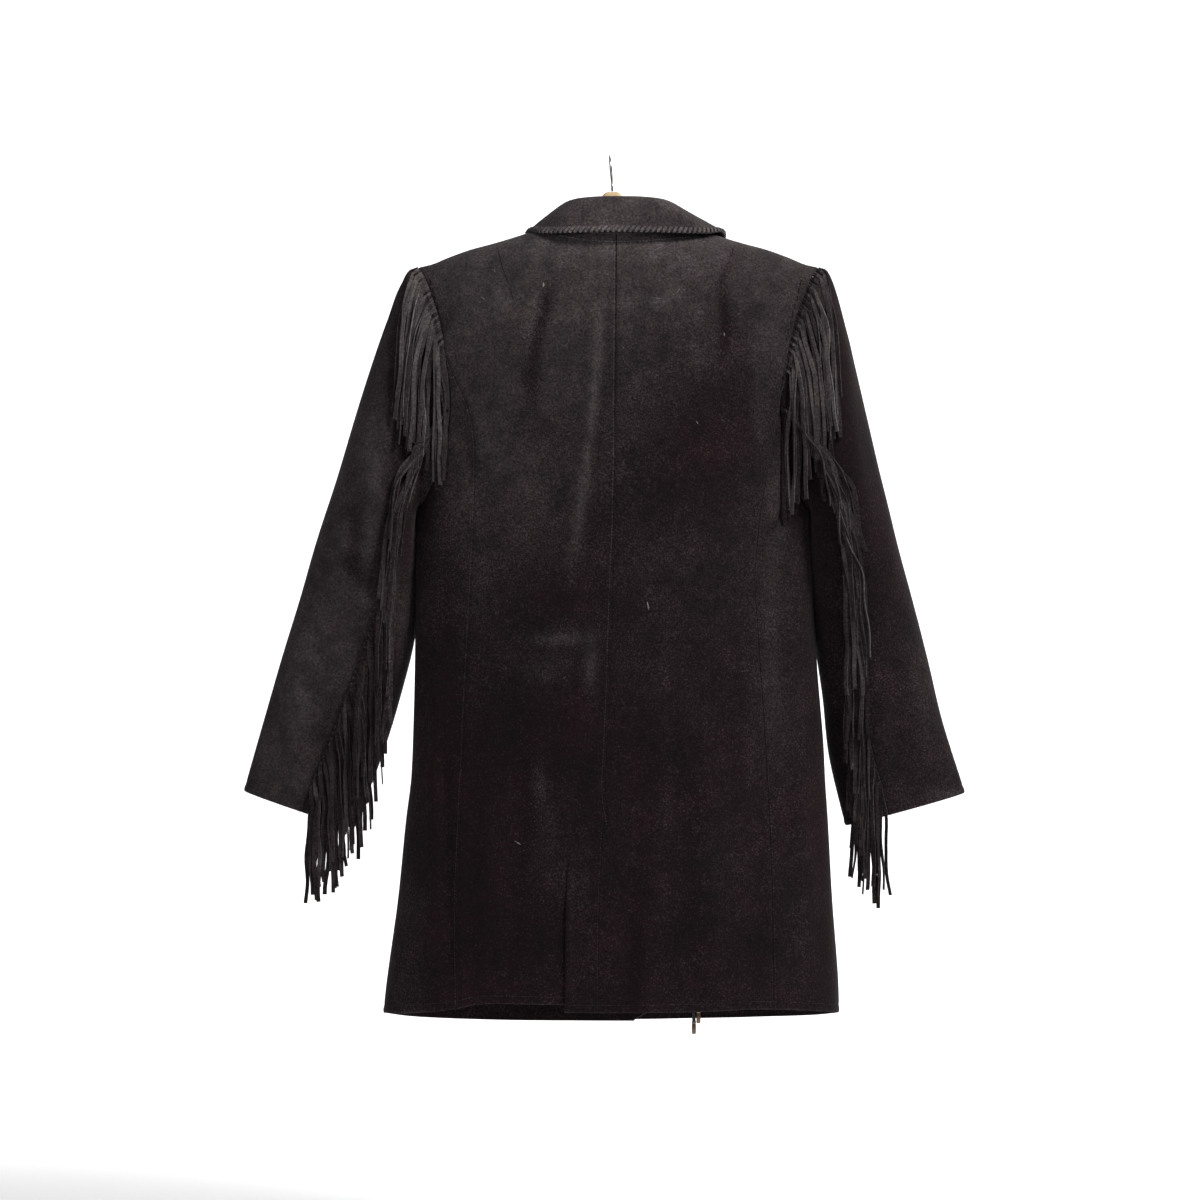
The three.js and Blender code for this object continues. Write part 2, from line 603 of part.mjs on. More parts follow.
function frontPanel(side) {
  const underarm = ARMHOLE[ARMHOLE.length - 1].z;
  const armholeSteps = ARMHOLE.length - 1;
  const start = sideLevels(side, 90, underarm).map((z) => [90, z]);
  for (let step = armholeSteps - 1; step >= 0; step -= 1) {
    start.push([armholeTurn(side, step, true), ARMHOLE[step].z]);
  }
  const edgeTurn = (z) => turnAt(side, FRONT_EDGE[side], z, true);
  const hemEnd = turnAt(side, FRONT_EDGE[side] + SIDES[side] * HEM_CORNER, CENTRE_FRONT_HEM[side], true);
  const end = sideLevels(side, hemEnd, ROLL_BREAK_Z).map((z, i) => [i === 0 ? hemEnd : edgeTurn(z), z]);
  end[1][1] = CENTRE_FRONT_HEM[side] + HEM_CORNER * HEM_CORNER_RISE;
  for (let step = 1; step <= armholeSteps; step += 1) {
    const z = mix(ROLL_BREAK_Z, NECK_END.z, 1 - (1 - step / armholeSteps) ** ROLL_ROW_CROWDING);
    end.push([turnAt(side, rollX(side, z), z, true), z]);
  }
  const columns = Array.from({ length: FRONT_COLUMNS + 1 }, (_, j) => j / FRONT_COLUMNS);
  const bottom = columns.map((u) => {
    const turn = mix(90, hemEnd, u);
    return [turn, hemHeight(side, turn)];
  });
  const top = columns.map((u) => {
    const reach = mix(ARMHOLE[0].front, NECK_REACH, u);
    const z = lookUp(SHOULDER, "reach", "z", reach);
    return [180 - reachTurn(reach, z), z];
  });
  const grid = fillEdges(bottom, top, start, end);
  return bodyPanel(side, grid, () => frontLift(side), () => true);
}

// A lapel lies on its front, from the roll line to its outer edge
function lapel(side) {
  const centre = lookUp(BODY, "z", "centre", NECK_END.z);
  const lift = frontLift(side) + LAID_ON;
  const grid = LAPEL.map((row) =>
    Array.from({ length: LAPEL_COLUMNS + 1 }, (_, j) => {
      const u = j / LAPEL_COLUMNS;
      const z = mix(row.roll, row.z, u);
      const inner = rollX(side, row.roll) + SIDES[side] * ROLL_GAP;
      const x = mix(inner, centre + SIDES[side] * row.reach, u);
      return [turnAt(side, x, z, true), z];
    }),
  );
  return bodyPanel(side, grid, () => lift).geometry;
}

// The collar, one wall from its neck seam up to the fold and down to its outer edge
function collar() {
  const half = COLLAR.length - 1;
  const centre = lookUp(BODY, "z", "centre", NECK_END.z);
  const line = (part) => {
    const points = [];
    for (let i = -half; i <= half; i += 1) {
      const [reach, y, z] = COLLAR[Math.abs(i)][part];
      const shift = (COLLAR_SHIFT[part] ?? 0) * Math.min(Math.abs(i) / COLLAR_SHIFT_ROWS, 1);
      const spread = part === "edge" && i > 0 ? COLLAR_SPREAD : 0;
      const lapped = i > 0 ? FRONT_LAP * ease(...COLLAR_LAP_ROWS, i) : 0;
      points.push(new THREE.Vector3(centre + shift - Math.sign(i) * (reach + spread), y - lapped, z));
    }
    return new THREE.CatmullRomCurve3(points);
  };
  const lines = { base: line("base"), fold: line("fold"), edge: line("edge") };
  const count = 2 * half * COLLAR_STEPS;
  const outside = Array.from({ length: count + 1 }, (_, i) => {
    const at = Object.fromEntries(Object.entries(lines).map(([part, curve]) => [part, curve.getPoint(i / count)]));
    const outward = at.edge.clone().sub(at.fold).setZ(0).normalize();
    const between = (a, b, t, bulge) => a.clone().lerp(b, t).addScaledVector(outward, bulge);
    const crest = at.fold.clone().addScaledVector(outward, COLLAR_CREST);
    return [
      at.base,
      between(at.base, at.fold, COLLAR_STAND.middle, COLLAR_HOLLOW.middle),
      between(at.base, at.fold, COLLAR_STAND.high, COLLAR_HOLLOW.high),
      crest.clone().setZ(at.fold.z),
      between(crest, at.edge, COLLAR_FALL.shoulder, COLLAR_SHOULDER_BULGE),
      between(crest, at.edge, COLLAR_FALL.middle, COLLAR_BULGE),
      at.edge,
    ];
  });
  return wall(outside, gridNormals(outside, (point) => new THREE.Vector3(point.x - centre, point.y, 0)));
}

// Directions out of a grid of points, turned so that the last one of the middle row agrees with the given one
function gridNormals(points, reference) {
  const rows = points.length - 1;
  const columns = points[0].length - 1;
  const normals = points.map((row, i) =>
    row.map((_, j) => {
      const along = points[Math.min(i + 1, rows)][j].clone().sub(points[Math.max(i - 1, 0)][j]);
      const across = points[i][Math.min(j + 1, columns)].clone().sub(points[i][Math.max(j - 1, 0)]);
      return along.cross(across).normalize();
    }),
  );
  const middle = Math.round(rows / 2);
  const agrees = normals[middle][columns].dot(reference(points[middle][columns])) > 0;
  return normals.map((row) => row.map((normal) => (agrees ? normal : normal.negate())));
}

// The armhole as a closed loop of points, down the back and up the front, with the turn of each
function armholeLoop(side) {
  const steps = ARMHOLE.length - 1;
  const half = (onFront) => ARMHOLE.map((row, step) => bodyPoint(side, armholeTurn(side, step, onFront), row.z));
  const withTurns = (points) => {
    points[0].y = 0;
    const lengths = points.map((point, i) => (i === 0 ? 0 : point.distanceTo(points[i - 1])));
    const total = lengths.reduce((sum, length) => sum + length, 0);
    let along = 0;
    return points.map((point, i) => {
      along += lengths[i];
      return { point, turn: (180 * along) / total };
    });
  };
  const behind = withTurns(half(false));
  const before = withTurns(half(true)).map(({ point, turn }) => ({ point, turn: 360 - turn }));
  return [...behind, ...before.slice(0, steps).reverse()];
}

function loopPoint(loop, turn) {
  const wrapped = ((turn % 360) + 360) % 360;
  let low = 0;
  while (low < loop.length - 2 && loop[low + 1].turn <= wrapped) low += 1;
  const t = (wrapped - loop[low].turn) / (loop[low + 1].turn - loop[low].turn);
  return loop[low].point.clone().lerp(loop[low + 1].point, t);
}

// A point on the outside of a sleeve, by row along it and turn round it
function sleevePoint(side, loop, row, turn) {
  const table = SLEEVES[side].map((entry, i) => ({
    row: i,
    outerX: entry.outer[0],
    outerZ: entry.outer[1],
    innerX: entry.inner[0],
    innerZ: entry.inner[1],
    depth: entry.depth,
    middle: entry.middle,
  }));
  const at = (column) => lookUp(table, "row", column, row);
  const angle = THREE.MathUtils.degToRad(turn);
  const rounded = (value) => Math.sign(value) * Math.abs(value) ** (2 / SLEEVE_ROUNDNESS);
  const chord = (1 - rounded(Math.cos(angle))) / 2;
  const tube = new THREE.Vector3(
    mix(at("outerX"), at("innerX"), chord),
    at("middle") + at("depth") * rounded(Math.sin(angle)),
    mix(at("outerZ"), at("innerZ"), chord),
  );
  const blend = 1 - ease(0, CAP_BLEND, row);
  const armhole = loopPoint(loop, turn);
  armhole.x += SIDES[side] * (CAP_GAP + row * CAP_STEP_OUT);
  return tube.lerp(armhole, blend);
}

function sleeveNormal(side, loop, row, turn) {
  const step = 0.02;
  const swing = 2;
  const [before, after] = [Math.max(row - step, 0), row + step];
  const along = sleevePoint(side, loop, after, turn).sub(sleevePoint(side, loop, before, turn));
  const round = sleevePoint(side, loop, row, turn + swing).sub(sleevePoint(side, loop, row, turn - swing));
  const normal = along.cross(round).multiplyScalar(-SIDES[side]);
  if (row === 0) normal.x = 0;
  return normal.normalize();
}

// A sleeve panel between two seams; its columns start at the armhole's own points
function sleevePanel(side, loop, firstStep, lastStep, startTurn, endTurn) {
  const steps = [];
  for (let step = firstStep; step <= lastStep; step += 1) steps.push(step);
  const count = loop.length;
  const loopTurn = (step) => loop[((step % count) + count) % count].turn + 360 * Math.floor(step / count);
  const [first, last] = [loopTurn(firstStep), loopTurn(lastStep)];
  const turns = (row) =>
    steps.map((step) => {
      const u = (loopTurn(step) - first) / (last - first);
      const moved = ease(0, CAP_TURN_ROWS, row);
      return mix(mix(first, startTurn(row), moved), mix(last, endTurn(row), moved), u);
    });
  const grid = SLEEVE_ROWS.map((row) => turns(row).map((turn) => [row, turn]));
  const outside = grid.map((line) => line.map(([row, turn]) => sleevePoint(side, loop, row, turn)));
  const directions = grid.map((line) => line.map(([row, turn]) => sleeveNormal(side, loop, row, turn)));
  const eased = easeEdges(outside);
  eased[0] = eased[0].map((point, j) => point.setX(outside[0][j].x));
  return { outside, geometry: wall(eased, directions) };
}

function sleevePanels(side) {
  const loop = armholeLoop(side);
  const count = loop.length;
  const hind = (row) => lookUp(HIND_SEAM, "row", side, row);
  const top = sleevePanel(side, loop, FORE_STEP * -1, HIND_STEP, () => FORE_SEAM_TURN - 360, hind);
  const under = sleevePanel(side, loop, HIND_STEP, count - FORE_STEP, hind, () => FORE_SEAM_TURN);
  return { top, under };
}

// How far back the given grids of outside points reach at this x and height
function rearAt(grids, x, z) {
  let rear = -Infinity;
  for (const grid of grids) {
    for (let i = 0; i < grid.length - 1; i += 1) {
      for (let j = 0; j < grid[0].length - 1; j += 1) {
        const [a, b, c, d] = [grid[i][j], grid[i][j + 1], grid[i + 1][j + 1], grid[i + 1][j]];
        rear = Math.max(rear, rearOfTriangle(a, b, c, x, z), rearOfTriangle(a, c, d, x, z));
      }
    }
  }
  return rear;
}

function rearOfTriangle(a, b, c, x, z) {
  const area = (b.x - a.x) * (c.z - a.z) - (c.x - a.x) * (b.z - a.z);
  if (Math.abs(area) < 1e-6) return -Infinity;
  const v = ((x - a.x) * (c.z - a.z) - (c.x - a.x) * (z - a.z)) / area;
  const w = ((b.x - a.x) * (z - a.z) - (x - a.x) * (b.z - a.z)) / area;
  if (v < -0.001 || w < -0.001 || v + w > 1.001) return -Infinity;
  return a.y + v * (b.y - a.y) + w * (c.y - a.y);
}

// The plain solid of a fringe: it lies on the cloth behind it and hangs plumb past its edge
function fringe(rows, grids) {
  const lying = [];
  const around = [-0.5, 0, 0.5];
  rows.forEach((row, i) => {
    const width = (row.far - row.near) / FRINGE_COLUMNS;
    const height = i === 0 ? 10 : rows[i - 1].z - row.z;
    lying.push(
      Array.from({ length: FRINGE_COLUMNS + 1 }, (_, j) => {
        const x = mix(row.near, row.far, j / FRINGE_COLUMNS);
        const rears = around.flatMap((a) => around.map((b) => rearAt(grids, x + a * width, row.z + b * height)));
        const corner = i === 0 && (j === 0 || j === FRINGE_COLUMNS);
        const rear = Math.max(...rears) + (corner ? FRINGE_SEAT : FRINGE_CLEARANCE);
        const plumb = i === 0 ? -Infinity : lying[i - 1][j].y - FRINGE_SWING;
        return new THREE.Vector3(x, Math.max(rear, plumb), row.z);
      }),
    );
  });
  const outside = lying.map((row) => row.map((point) => point.clone().setY(point.y + FRINGE_THICKNESS)));
  const directions = lying.map((row) => row.map(() => new THREE.Vector3(0, 1, 0)));
  return wall(outside, directions, FRINGE_THICKNESS);
}

function button(z, panel) {
  const turned = panel.map((row) => row.map((point) => point.clone().setY(-point.y)));
  const steps = [-BUTTON.radius, 0, BUTTON.radius];
  const around = steps.flatMap((dx) => steps.map((dz) => rearAt([turned], BUTTON.x + dx, z + dz)));
  const front = -Math.max(...around);
  const disc = new THREE.CylinderGeometry(BUTTON.radius, BUTTON.radius, BUTTON.thickness, BUTTON.sides);
  disc.translate(BUTTON.x, front - BUTTON.clearance - BUTTON.thickness / 2, z);
  return disc;
}

// The hanger's bar: rounded sections from one tip to the other
function hangerBar() {
  const rows = [...HANGER].reverse().map((row) => ({ ...row, x: HANGER_CENTRE - row.reach }));
  rows.push(...HANGER.slice(1).map((row) => ({ ...row, x: HANGER_CENTRE + row.reach })));
  const positions = [];
  rows.forEach((row) => {
    const shift = (HANGER_ARMS.centre - HANGER_CENTRE) * ease(HANGER_ARMS.start, HANGER_ARMS.end, row.reach);
    for (let k = 0; k < HANGER_SIDES; k += 1) {
      const angle = (2 * Math.PI * k) / HANGER_SIDES;
      const middle = (row.top + row.bottom) / 2;
      const half = (row.top - row.bottom) / 2;
      positions.push(row.x + shift, row.thickness * Math.cos(angle), middle + half * Math.sin(angle));
    }
  });
  const index = [];
  for (let i = 0; i < rows.length - 1; i += 1) {
    for (let k = 0; k < HANGER_SIDES; k += 1) {
      const next = (k + 1) % HANGER_SIDES;
      const [a, b] = [i * HANGER_SIDES + k, i * HANGER_SIDES + next];
      index.push(a, b, b + HANGER_SIDES, a, b + HANGER_SIDES, a + HANGER_SIDES);
    }
  }
  const last = (rows.length - 1) * HANGER_SIDES;
  for (let k = 1; k < HANGER_SIDES - 1; k += 1) {
    index.push(0, k + 1, k);
    index.push(last, last + k, last + k + 1);
  }
  return solid(positions, index);
}

// The hook: a short stem that leans, then most of a ring across the bar
function hook() {
  const points = [new THREE.Vector3(HOOK.lean, 0, HOOK.root)];
  const middle = HOOK.wire - HOOK.radius;
  for (let i = 0; i <= HOOK.points; i += 1) {
    const angle = THREE.MathUtils.degToRad(mix(-90, HOOK.end, i / HOOK.points));
    const z = middle + HOOK.radius * Math.sin(angle);
    const x = (HOOK.lean * (HOOK.wire - z)) / (HOOK.wire - HOOK.root);
    points.push(new THREE.Vector3(x, HOOK.radius * Math.cos(angle), z));
  }
  return tube(points, HOOK.wire, HOOK.rings);
}

function tube(points, radius, steps) {
  const shape = new THREE.Shape(
    Array.from({ length: TUBE_SIDES }, (_, k) => {
      const angle = (2 * Math.PI * k) / TUBE_SIDES;
      return new THREE.Vector2(radius * Math.cos(angle), radius * Math.sin(angle));
    }),
  );
  const extrudePath = new THREE.CatmullRomCurve3(points);
  return new THREE.ExtrudeGeometry(shape, { steps, extrudePath, bevelEnabled: false });
}

function lace(name) {
  const points = LACE_ROUTES[name].map((point) => new THREE.Vector3(...point));
  return tube(points, LACE_DIAMETER / 2, LACE_RINGS);
}

// The metal tip under a lace's free end
function laceTip(name) {
  const [x, y, z] = LACE_ROUTES[name].at(-1);
  const tip = new THREE.CylinderGeometry(TIP.radius, TIP.radius, TIP.length, TIP.sides);
  tip.rotateX(Math.PI / 2);
  tip.translate(x, y, z - TIP.gap - TIP.length / 2);
  return tip;
}

const jacket = new THREE.Group();

function add(name, geometry, finish) {
  const mesh = new THREE.Mesh(geometry, finish);
  mesh.name = name;
  jacket.add(mesh);
}

for (const side of ["left", "right"]) {
  const back = backPanel(side);
  const flank = sidePanel(side);
  const front = frontPanel(side);
  const sleeve = sleevePanels(side);
  add(`back_${side}`, back.geometry, SUEDE_UPPER);
  add(`side_${side}`, flank.geometry, SUEDE);
  add(`front_${side}`, front.geometry, SUEDE);
  add(`lapel_${side}`, lapel(side), SUEDE_UPPER);
  add(`top_sleeve_${side}`, sleeve.top.geometry, SUEDE);
  add(`under_sleeve_${side}`, sleeve.under.geometry, SUEDE);
  const behind = [back.outside, flank.outside, sleeve.top.outside, sleeve.under.outside];
  for (const name of [`armhole_fringe_${side}`, `sleeve_fringe_${side}`]) {
    add(name, fringe(FRINGES[name], behind), FRINGE_SUEDE);
  }
  if (side === "right") {
    BUTTON_HEIGHTS.forEach((z, i) => add(`button_${i + 1}`, button(z, front.outside), BUTTON_PLASTIC));
  }
}
add("collar", collar(), SUEDE_UPPER);
add("hanger", hangerBar(), WOOD);
add("hook", hook(), STEEL);
add("lace_long", lace("lace_long"), SUEDE);
add("lace_short", lace("lace_short"), SUEDE);
add("tip_long", laceTip("lace_long"), STEEL);
add("tip_short", laceTip("lace_short"), STEEL);

export default jacket;
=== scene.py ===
"""Looks of a fringed suede jacket on a wooden hanger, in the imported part's own frame.

Sizes are millimetres until a mesh is made, then metres. +Z is up, the front faces -Y and the
wearer's left is +X. Each class is one kind of piece: its fields are sizes, build() makes it and
dress() gives it its finish.
"""

import logging
import math
from dataclasses import dataclass, field
from enum import Enum

import bpy
import numpy as np
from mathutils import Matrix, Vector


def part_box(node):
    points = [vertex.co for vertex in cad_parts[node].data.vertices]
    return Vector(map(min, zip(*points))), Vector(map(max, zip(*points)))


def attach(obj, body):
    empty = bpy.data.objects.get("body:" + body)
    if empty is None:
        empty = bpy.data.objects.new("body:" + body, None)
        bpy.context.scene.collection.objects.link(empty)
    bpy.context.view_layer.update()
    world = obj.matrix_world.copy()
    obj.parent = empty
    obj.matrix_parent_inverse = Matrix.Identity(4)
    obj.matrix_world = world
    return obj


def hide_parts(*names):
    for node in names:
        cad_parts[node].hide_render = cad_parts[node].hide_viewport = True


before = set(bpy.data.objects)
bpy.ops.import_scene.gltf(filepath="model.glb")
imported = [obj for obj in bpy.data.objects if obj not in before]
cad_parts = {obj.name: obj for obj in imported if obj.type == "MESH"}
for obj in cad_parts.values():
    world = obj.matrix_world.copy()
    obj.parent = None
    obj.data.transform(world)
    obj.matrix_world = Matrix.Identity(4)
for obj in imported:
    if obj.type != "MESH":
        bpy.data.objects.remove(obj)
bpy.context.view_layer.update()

log = logging.getLogger("jacket")
MM = 0.001
Numbers = float | np.ndarray


def table(*rows: list) -> np.ndarray:
    """Rows of numbers as an array."""
    return np.array(rows, float)


class Side(Enum):
    """Side of the wearer."""

    LEFT = 1
    RIGHT = -1

    @property
    def word(self) -> str:
        """Name used in pieces."""
        return self.name.lower()

    @property
    def column(self) -> int:
        """Place of this side in a table with a column for each."""
        return 0 if self is Side.LEFT else 1


class Face(Enum):
    """The way a piece of cloth looks."""

    BACK = 1
    FRONT = -1


class Edge(Enum):
    """Edges of a panel's grid: its first and last row, its first and last column."""

    BOTTOM = "bottom"
    TOP = "top"
    START = "start"
    END = "end"


class Finish(Enum):
    """How a panel's edge is made."""

    SEAM = "seam"
    HEM = "hem"
    FOLD = "fold"
    HIDDEN = "hidden"


# Cloth and laps
CLOTH = 2.0
LAID_ON = 3.0
FRONT_LAP = 6.2
VENT_LAP_LIFT = 3.2
VENT_TOP_LIFT = 0.4
VENT_TOP_FADE = 34.0
VENT_UNDERLAP = 6.0
VENT_LIFTS = (-820.0, -730.0)
BODY_ROUND = 2.4
SLEEVE_ROUND = 2.2
NECK_REACH = 71.0
RISE_AT_NECK = 150.0
RISE_AT_TIP = 105.0
FRONT_LIFT_TURNS = (100.0, 150.0)
VENT_TOP = -718.0
VENT_FULL = -738.0
VENT_WIDTH = 36.0
FRONT_EDGE = {Side.LEFT: -52.0, Side.RIGHT: 30.0}
ROLL_BREAK_Z = -372.0
HEM_CORNER = 26.0
CURVED_SEAM_HEM_TURN = 42.0
SIDE_BACK_STEP = 7
HIND_STEP = 9
FORE_STEP = 10
FORE_SEAM_TURN = 225.0
CAP_BLEND = 5.0
CAP_TURN_ROWS = 1.5
CAP_GAP = 0.35
CAP_STEP_OUT = (1.0, 6.0)
NECK_ROW_SPREAD = 1.4
ROLL_ROW_SPREAD = 1.35
ROLL_GAP = 0.6
CORNER_RISE = 0.8
NECK_SLACK = 0.5
SHOULDER_EASE = 12.0

# Plan of the body: height, centre, half width, depth behind and before
BODY = table(
    [-40, -9, 224, 60, 64], [-119, -9, 223, 62, 66], [-200, -7.5, 219, 65, 70], [-300, -5, 215.5, 68, 76],
    [-391, -3.2, 212.8, 68, 80], [-543, -6.2, 216.8, 63, 73], [-629, -8.6, 221.4, 65, 72],
    [-672, -8.6, 223.5, 66, 72], [-715, -7.4, 227.6, 67, 73], [-802, -5.4, 234.4, 69, 74],
    [-888, -2.7, 243.5, 72, 75], [-950, 0, 247.5, 74, 76],
)

# Shoulder line: distance from the centre, height
SHOULDER = table(
    [0, -55], [40, -62], [71, -72.8], [110, -85.5], [135, -93], [161, -100], [187, -109.5], [200, -115],
    [217.4, -119.2], [232, -124],
)
NECK_END_Z = -72.8

# Armhole from the shoulder tip to the underarm: height, distance from the centre behind and before
ARMHOLE = table(
    [-119.2, 217.4, 217.4], [-123, 213.5, 213.5], [-130, 209, 209], [-141, 204, 203], [-156, 198.5, 196],
    [-174, 192, 188], [-196, 186.5, 181], [-220, 182, 175], [-247, 177.5, 171], [-274, 176, 170],
    [-301, 178.5, 173], [-328, 184, 180], [-353, 193, 190.5], [-374, 204, 203], [-388, 212.9, 212.9],
)

# Seams of the back: height, centre back, curved seams on the left and right
BACK_SEAMS = table(
    [-89, -6.9, 178, -192], [-220, -6.2, 174.9, -189.1], [-250, -5.9, 160, -182], [-292, -5.6, 147, -176],
    [-376, -5.1, 145.6, -162], [-441, -2.4, 148.2, -154], [-505, -0.2, 151.5, -157],
    [-605, 3.1, 156.5, -163.5], [-663, 6.1, 158.5, -166.5], [-730, 7.4, 161, -169.6],
    [-805, 10.8, 163.6, -171.5], [-915, 11.4, 161.8, -172.8],
)

# Hem: turn from the centre back, height on the left and right
HEM = table(
    [0, -906.5, -913.6], [20, -905.3, -913], [35, -906, -911.3], [42, -911.5, -911.5], [60, -918, -915.5],
    [90, -923.3, -923.3], [120, -934, -933], [150, -941, -939.5], [180, -943, -942.5],
    [200, -942.5, -942.5],
)
CENTRE_FRONT_HEM = 8

ROW_LEVELS = np.array(
    [
        -890, -850, -800, -757, -738, -718, -680, -630, -575, -515, -455, -400, -340, -280, -220,
    ],
    float,
)
NECK_COLUMNS = 3
SHOULDER_COLUMNS = 5

# Back neckline: distance from the centre, height
NECKLINE = table([0, -84], [27, -82.5], [52, -78.5], [71, -72.8])

# Lapel rows: height on the roll line, then distance from the centre and height of the outer edge
LAPEL = table(
    [-134, 98, -141], [-162, 112, -154], [-200, 101, -199], [-240, 82, -244], [-280, 60, -287],
    [-320, 33, -329], [-360, 1, -364],
)

# Collar rows from the centre back to the front end: seam, fold and edge, as reach, depth and height
COLLAR = table(
    [[0, 40.5, -88.2], [0, 34, -46.2], [0, 53, -85]], [[27, 36, -86.2], [25, 31, -46.2], [34, 50, -85]],
    [[51, 25.5, -81], [46, 22, -47.5], [66, 39, -84.5]], [[66, 10, -73.5], [58.5, 8, -51], [89, 23, -82.5]],
    [[69, -4, -71.5], [65, -9, -58], [104, 1, -79]], [[63, -26, -80], [67, -32, -76], [107, -21, -87]],
    [[56, -38, -100], [61, -47, -97], [108, -38, -104]],
    [[49, -48, -122], [54, -58, -119], [106, -52, -127]],
)

# Sleeve rows: number, outer edge x and z, inner edge x and z, half depth, middle
SLEEVES = {
    Side.LEFT: table(
        [0, 209.1, -118.5, 211.5, -388, 44, 0], [1, 222.1, -133.3, 213, -389, 47, 0],
        [2, 235.1, -165.8, 213.2, -392, 52, -1], [3, 253.5, -217.8, 209.5, -397, 57, -3],
        [4, 275.7, -282.8, 208.5, -407.3, 60, -5], [5, 295.7, -347.8, 208, -425.7, 60, -8],
        [6, 317.4, -412.8, 208, -453.9, 57, -12], [7, 336.9, -477.8, 211, -514.7, 47, -18],
        [8, 357.5, -542.8, 227.8, -583.1, 39, -24], [9, 377, -607.8, 248.4, -648.2, 31, -31],
        [10, 400, -686, 279, -727, 24, -38],
    ),
    Side.RIGHT: table(
        [0, -227, -118.5, -217.5, -388, 44, 0], [1, -235.1, -133.3, -220.5, -389, 47, 0],
        [2, -246, -165.8, -221.5, -392, 52, -1], [3, -260, -217.8, -217, -397, 57, -3],
        [4, -277.4, -282.8, -215.5, -407.3, 60, -5], [5, -293.6, -347.8, -215, -425.7, 60, -8],
        [6, -309.9, -412.8, -216, -453.9, 57, -12], [7, -328.3, -477.8, -221, -514.7, 47, -18],
        [8, -345.6, -542.8, -231.2, -583.1, 40, -24], [9, -361.9, -607.8, -238.8, -648.2, 33, -31],
        [10, -388, -688, -257, -724, 25, -38],
    ),
}

# Turn of the hind-arm seam: sleeve row, left, right
HIND_SEAM = table(
    [0, 100, 100], [2, 112, 104], [4, 122, 104], [5, 126, 106], [6, 122, 105], [7, 108, 100], [8, 102, 105],
    [9, 98, 108], [10, 94, 106],
)


def mix(a: Numbers, b: Numbers, t: Numbers) -> Numbers:
    """Value at share t of the way from a to b: a + (b - a) * t."""
    return a + (b - a) * t


def ease(low: float, high: float, value: Numbers) -> Numbers:
    """Smooth step from 0 at low to 1 at high: t * t * (3 - 2 t), t the clamped share of the way."""
    t = np.clip((np.asarray(value, float) - low) / (high - low), 0, 1)
    return t * t * (3 - 2 * t)


def look_up(table: np.ndarray, column: int, at: Numbers) -> np.ndarray:
    """Value of a column between the rows of a table.

    Args:
        table: rows that start with their key.
        column: column to read.
        at: keys to read at.

    Returns:
        The cubic through the rows whose slope at each row is that between its neighbours.
    """
    rows = table if table[0, 0] < table[-1, 0] else table[::-1]
    keys, values = rows[:, 0], rows[:, column]
    here = np.clip(np.asarray(at, float), keys[0], keys[-1])
    low = np.clip(np.searchsorted(keys, here, side="right") - 1, 0, len(keys) - 2)
    order = np.arange(len(keys))
    after, before = np.minimum(order + 1, len(keys) - 1), np.maximum(order - 1, 0)
    slope = (values[after] - values[before]) / (keys[after] - keys[before])
    span = keys[low + 1] - keys[low]
    t = (here - keys[low]) / span
    pull = (2 * t**3 - 3 * t**2 + 1) * values[low] + (3 * t**2 - 2 * t**3) * values[low + 1]
    push = (t**3 - 2 * t**2 + t) * slope[low] + (t**3 - t**2) * slope[low + 1]
    return pull + push * span


def spline(values: np.ndarray, at: np.ndarray) -> np.ndarray:
    """Smooth curve through a row of values.

    Args:
        values: values at the places 0, 1, 2 and so on, along the first axis.
        at: places to read, fractions allowed.

    Returns:
        The cubic through the values whose slope at each is half the step over its neighbours.
    """
    count = len(values)
    low = np.clip(np.floor(at).astype(int), 0, count - 2)
    shape = (-1,) + (1,) * (values.ndim - 1)
    t = (at - low).reshape(shape)
    order = np.arange(count)
    after, before = np.minimum(order + 1, count - 1), np.maximum(order - 1, 0)
    slope = (values[after] - values[before]) / (after - before).reshape(shape)
    pull = (2 * t**3 - 3 * t**2 + 1) * values[low] + (3 * t**2 - 2 * t**3) * values[low + 1]
    return pull + (t**3 - 2 * t**2 + t) * slope[low] + (t**3 - t**2) * slope[low + 1]


def unit(vectors: np.ndarray) -> np.ndarray:
    """Vectors scaled to length 1, where the last axis is x, y, z."""
    return vectors / np.maximum(np.linalg.norm(vectors, axis=-1, keepdims=True), 1e-9)


def grid_normals(points: np.ndarray, toward: np.ndarray) -> np.ndarray:
    """Directions out of a grid of points.

    Args:
        points: rows by columns by 3.
        toward: directions that the middle of the result agrees with, of the same shape.

    Returns:
        The cross product of the steps along the columns and the rows, as unit vectors.
    """
    out = unit(np.cross(np.gradient(points, axis=0), np.gradient(points, axis=1)))
    middle = (points.shape[0] // 2, points.shape[1] // 2)
    return out if np.dot(out[middle], toward[middle]) > 0 else -out


def walked(points: np.ndarray, axis: int) -> np.ndarray:
    """Distance walked along an axis of a grid of points: running sum of its steps, from 0."""
    steps = np.linalg.norm(np.diff(points, axis=axis), axis=-1)
    return np.cumsum(np.insert(steps, 0, 0, axis=axis), axis=axis)


def stations(length: float, pitch: float) -> np.ndarray:
    """Places of the rows across a panel: close together at both edges, for seams and folds.

    Args:
        length: from edge to edge.
        pitch: distance between the rows in the middle.

    Returns:
        Distances from the first edge.
    """
    close = np.array([0, 0.7, 1.5, 2.4, 3.4, 4.6, 6.2, 8.4, 11.2])
    close = close[close < length * 0.4]
    count = max(int(round((length - 2 * close[-1]) / pitch)), 2)
    middle = np.linspace(close[-1], length - close[-1], count + 1)
    return np.concatenate([close[:-1], middle, length - close[:-1][::-1]])


# The body's form


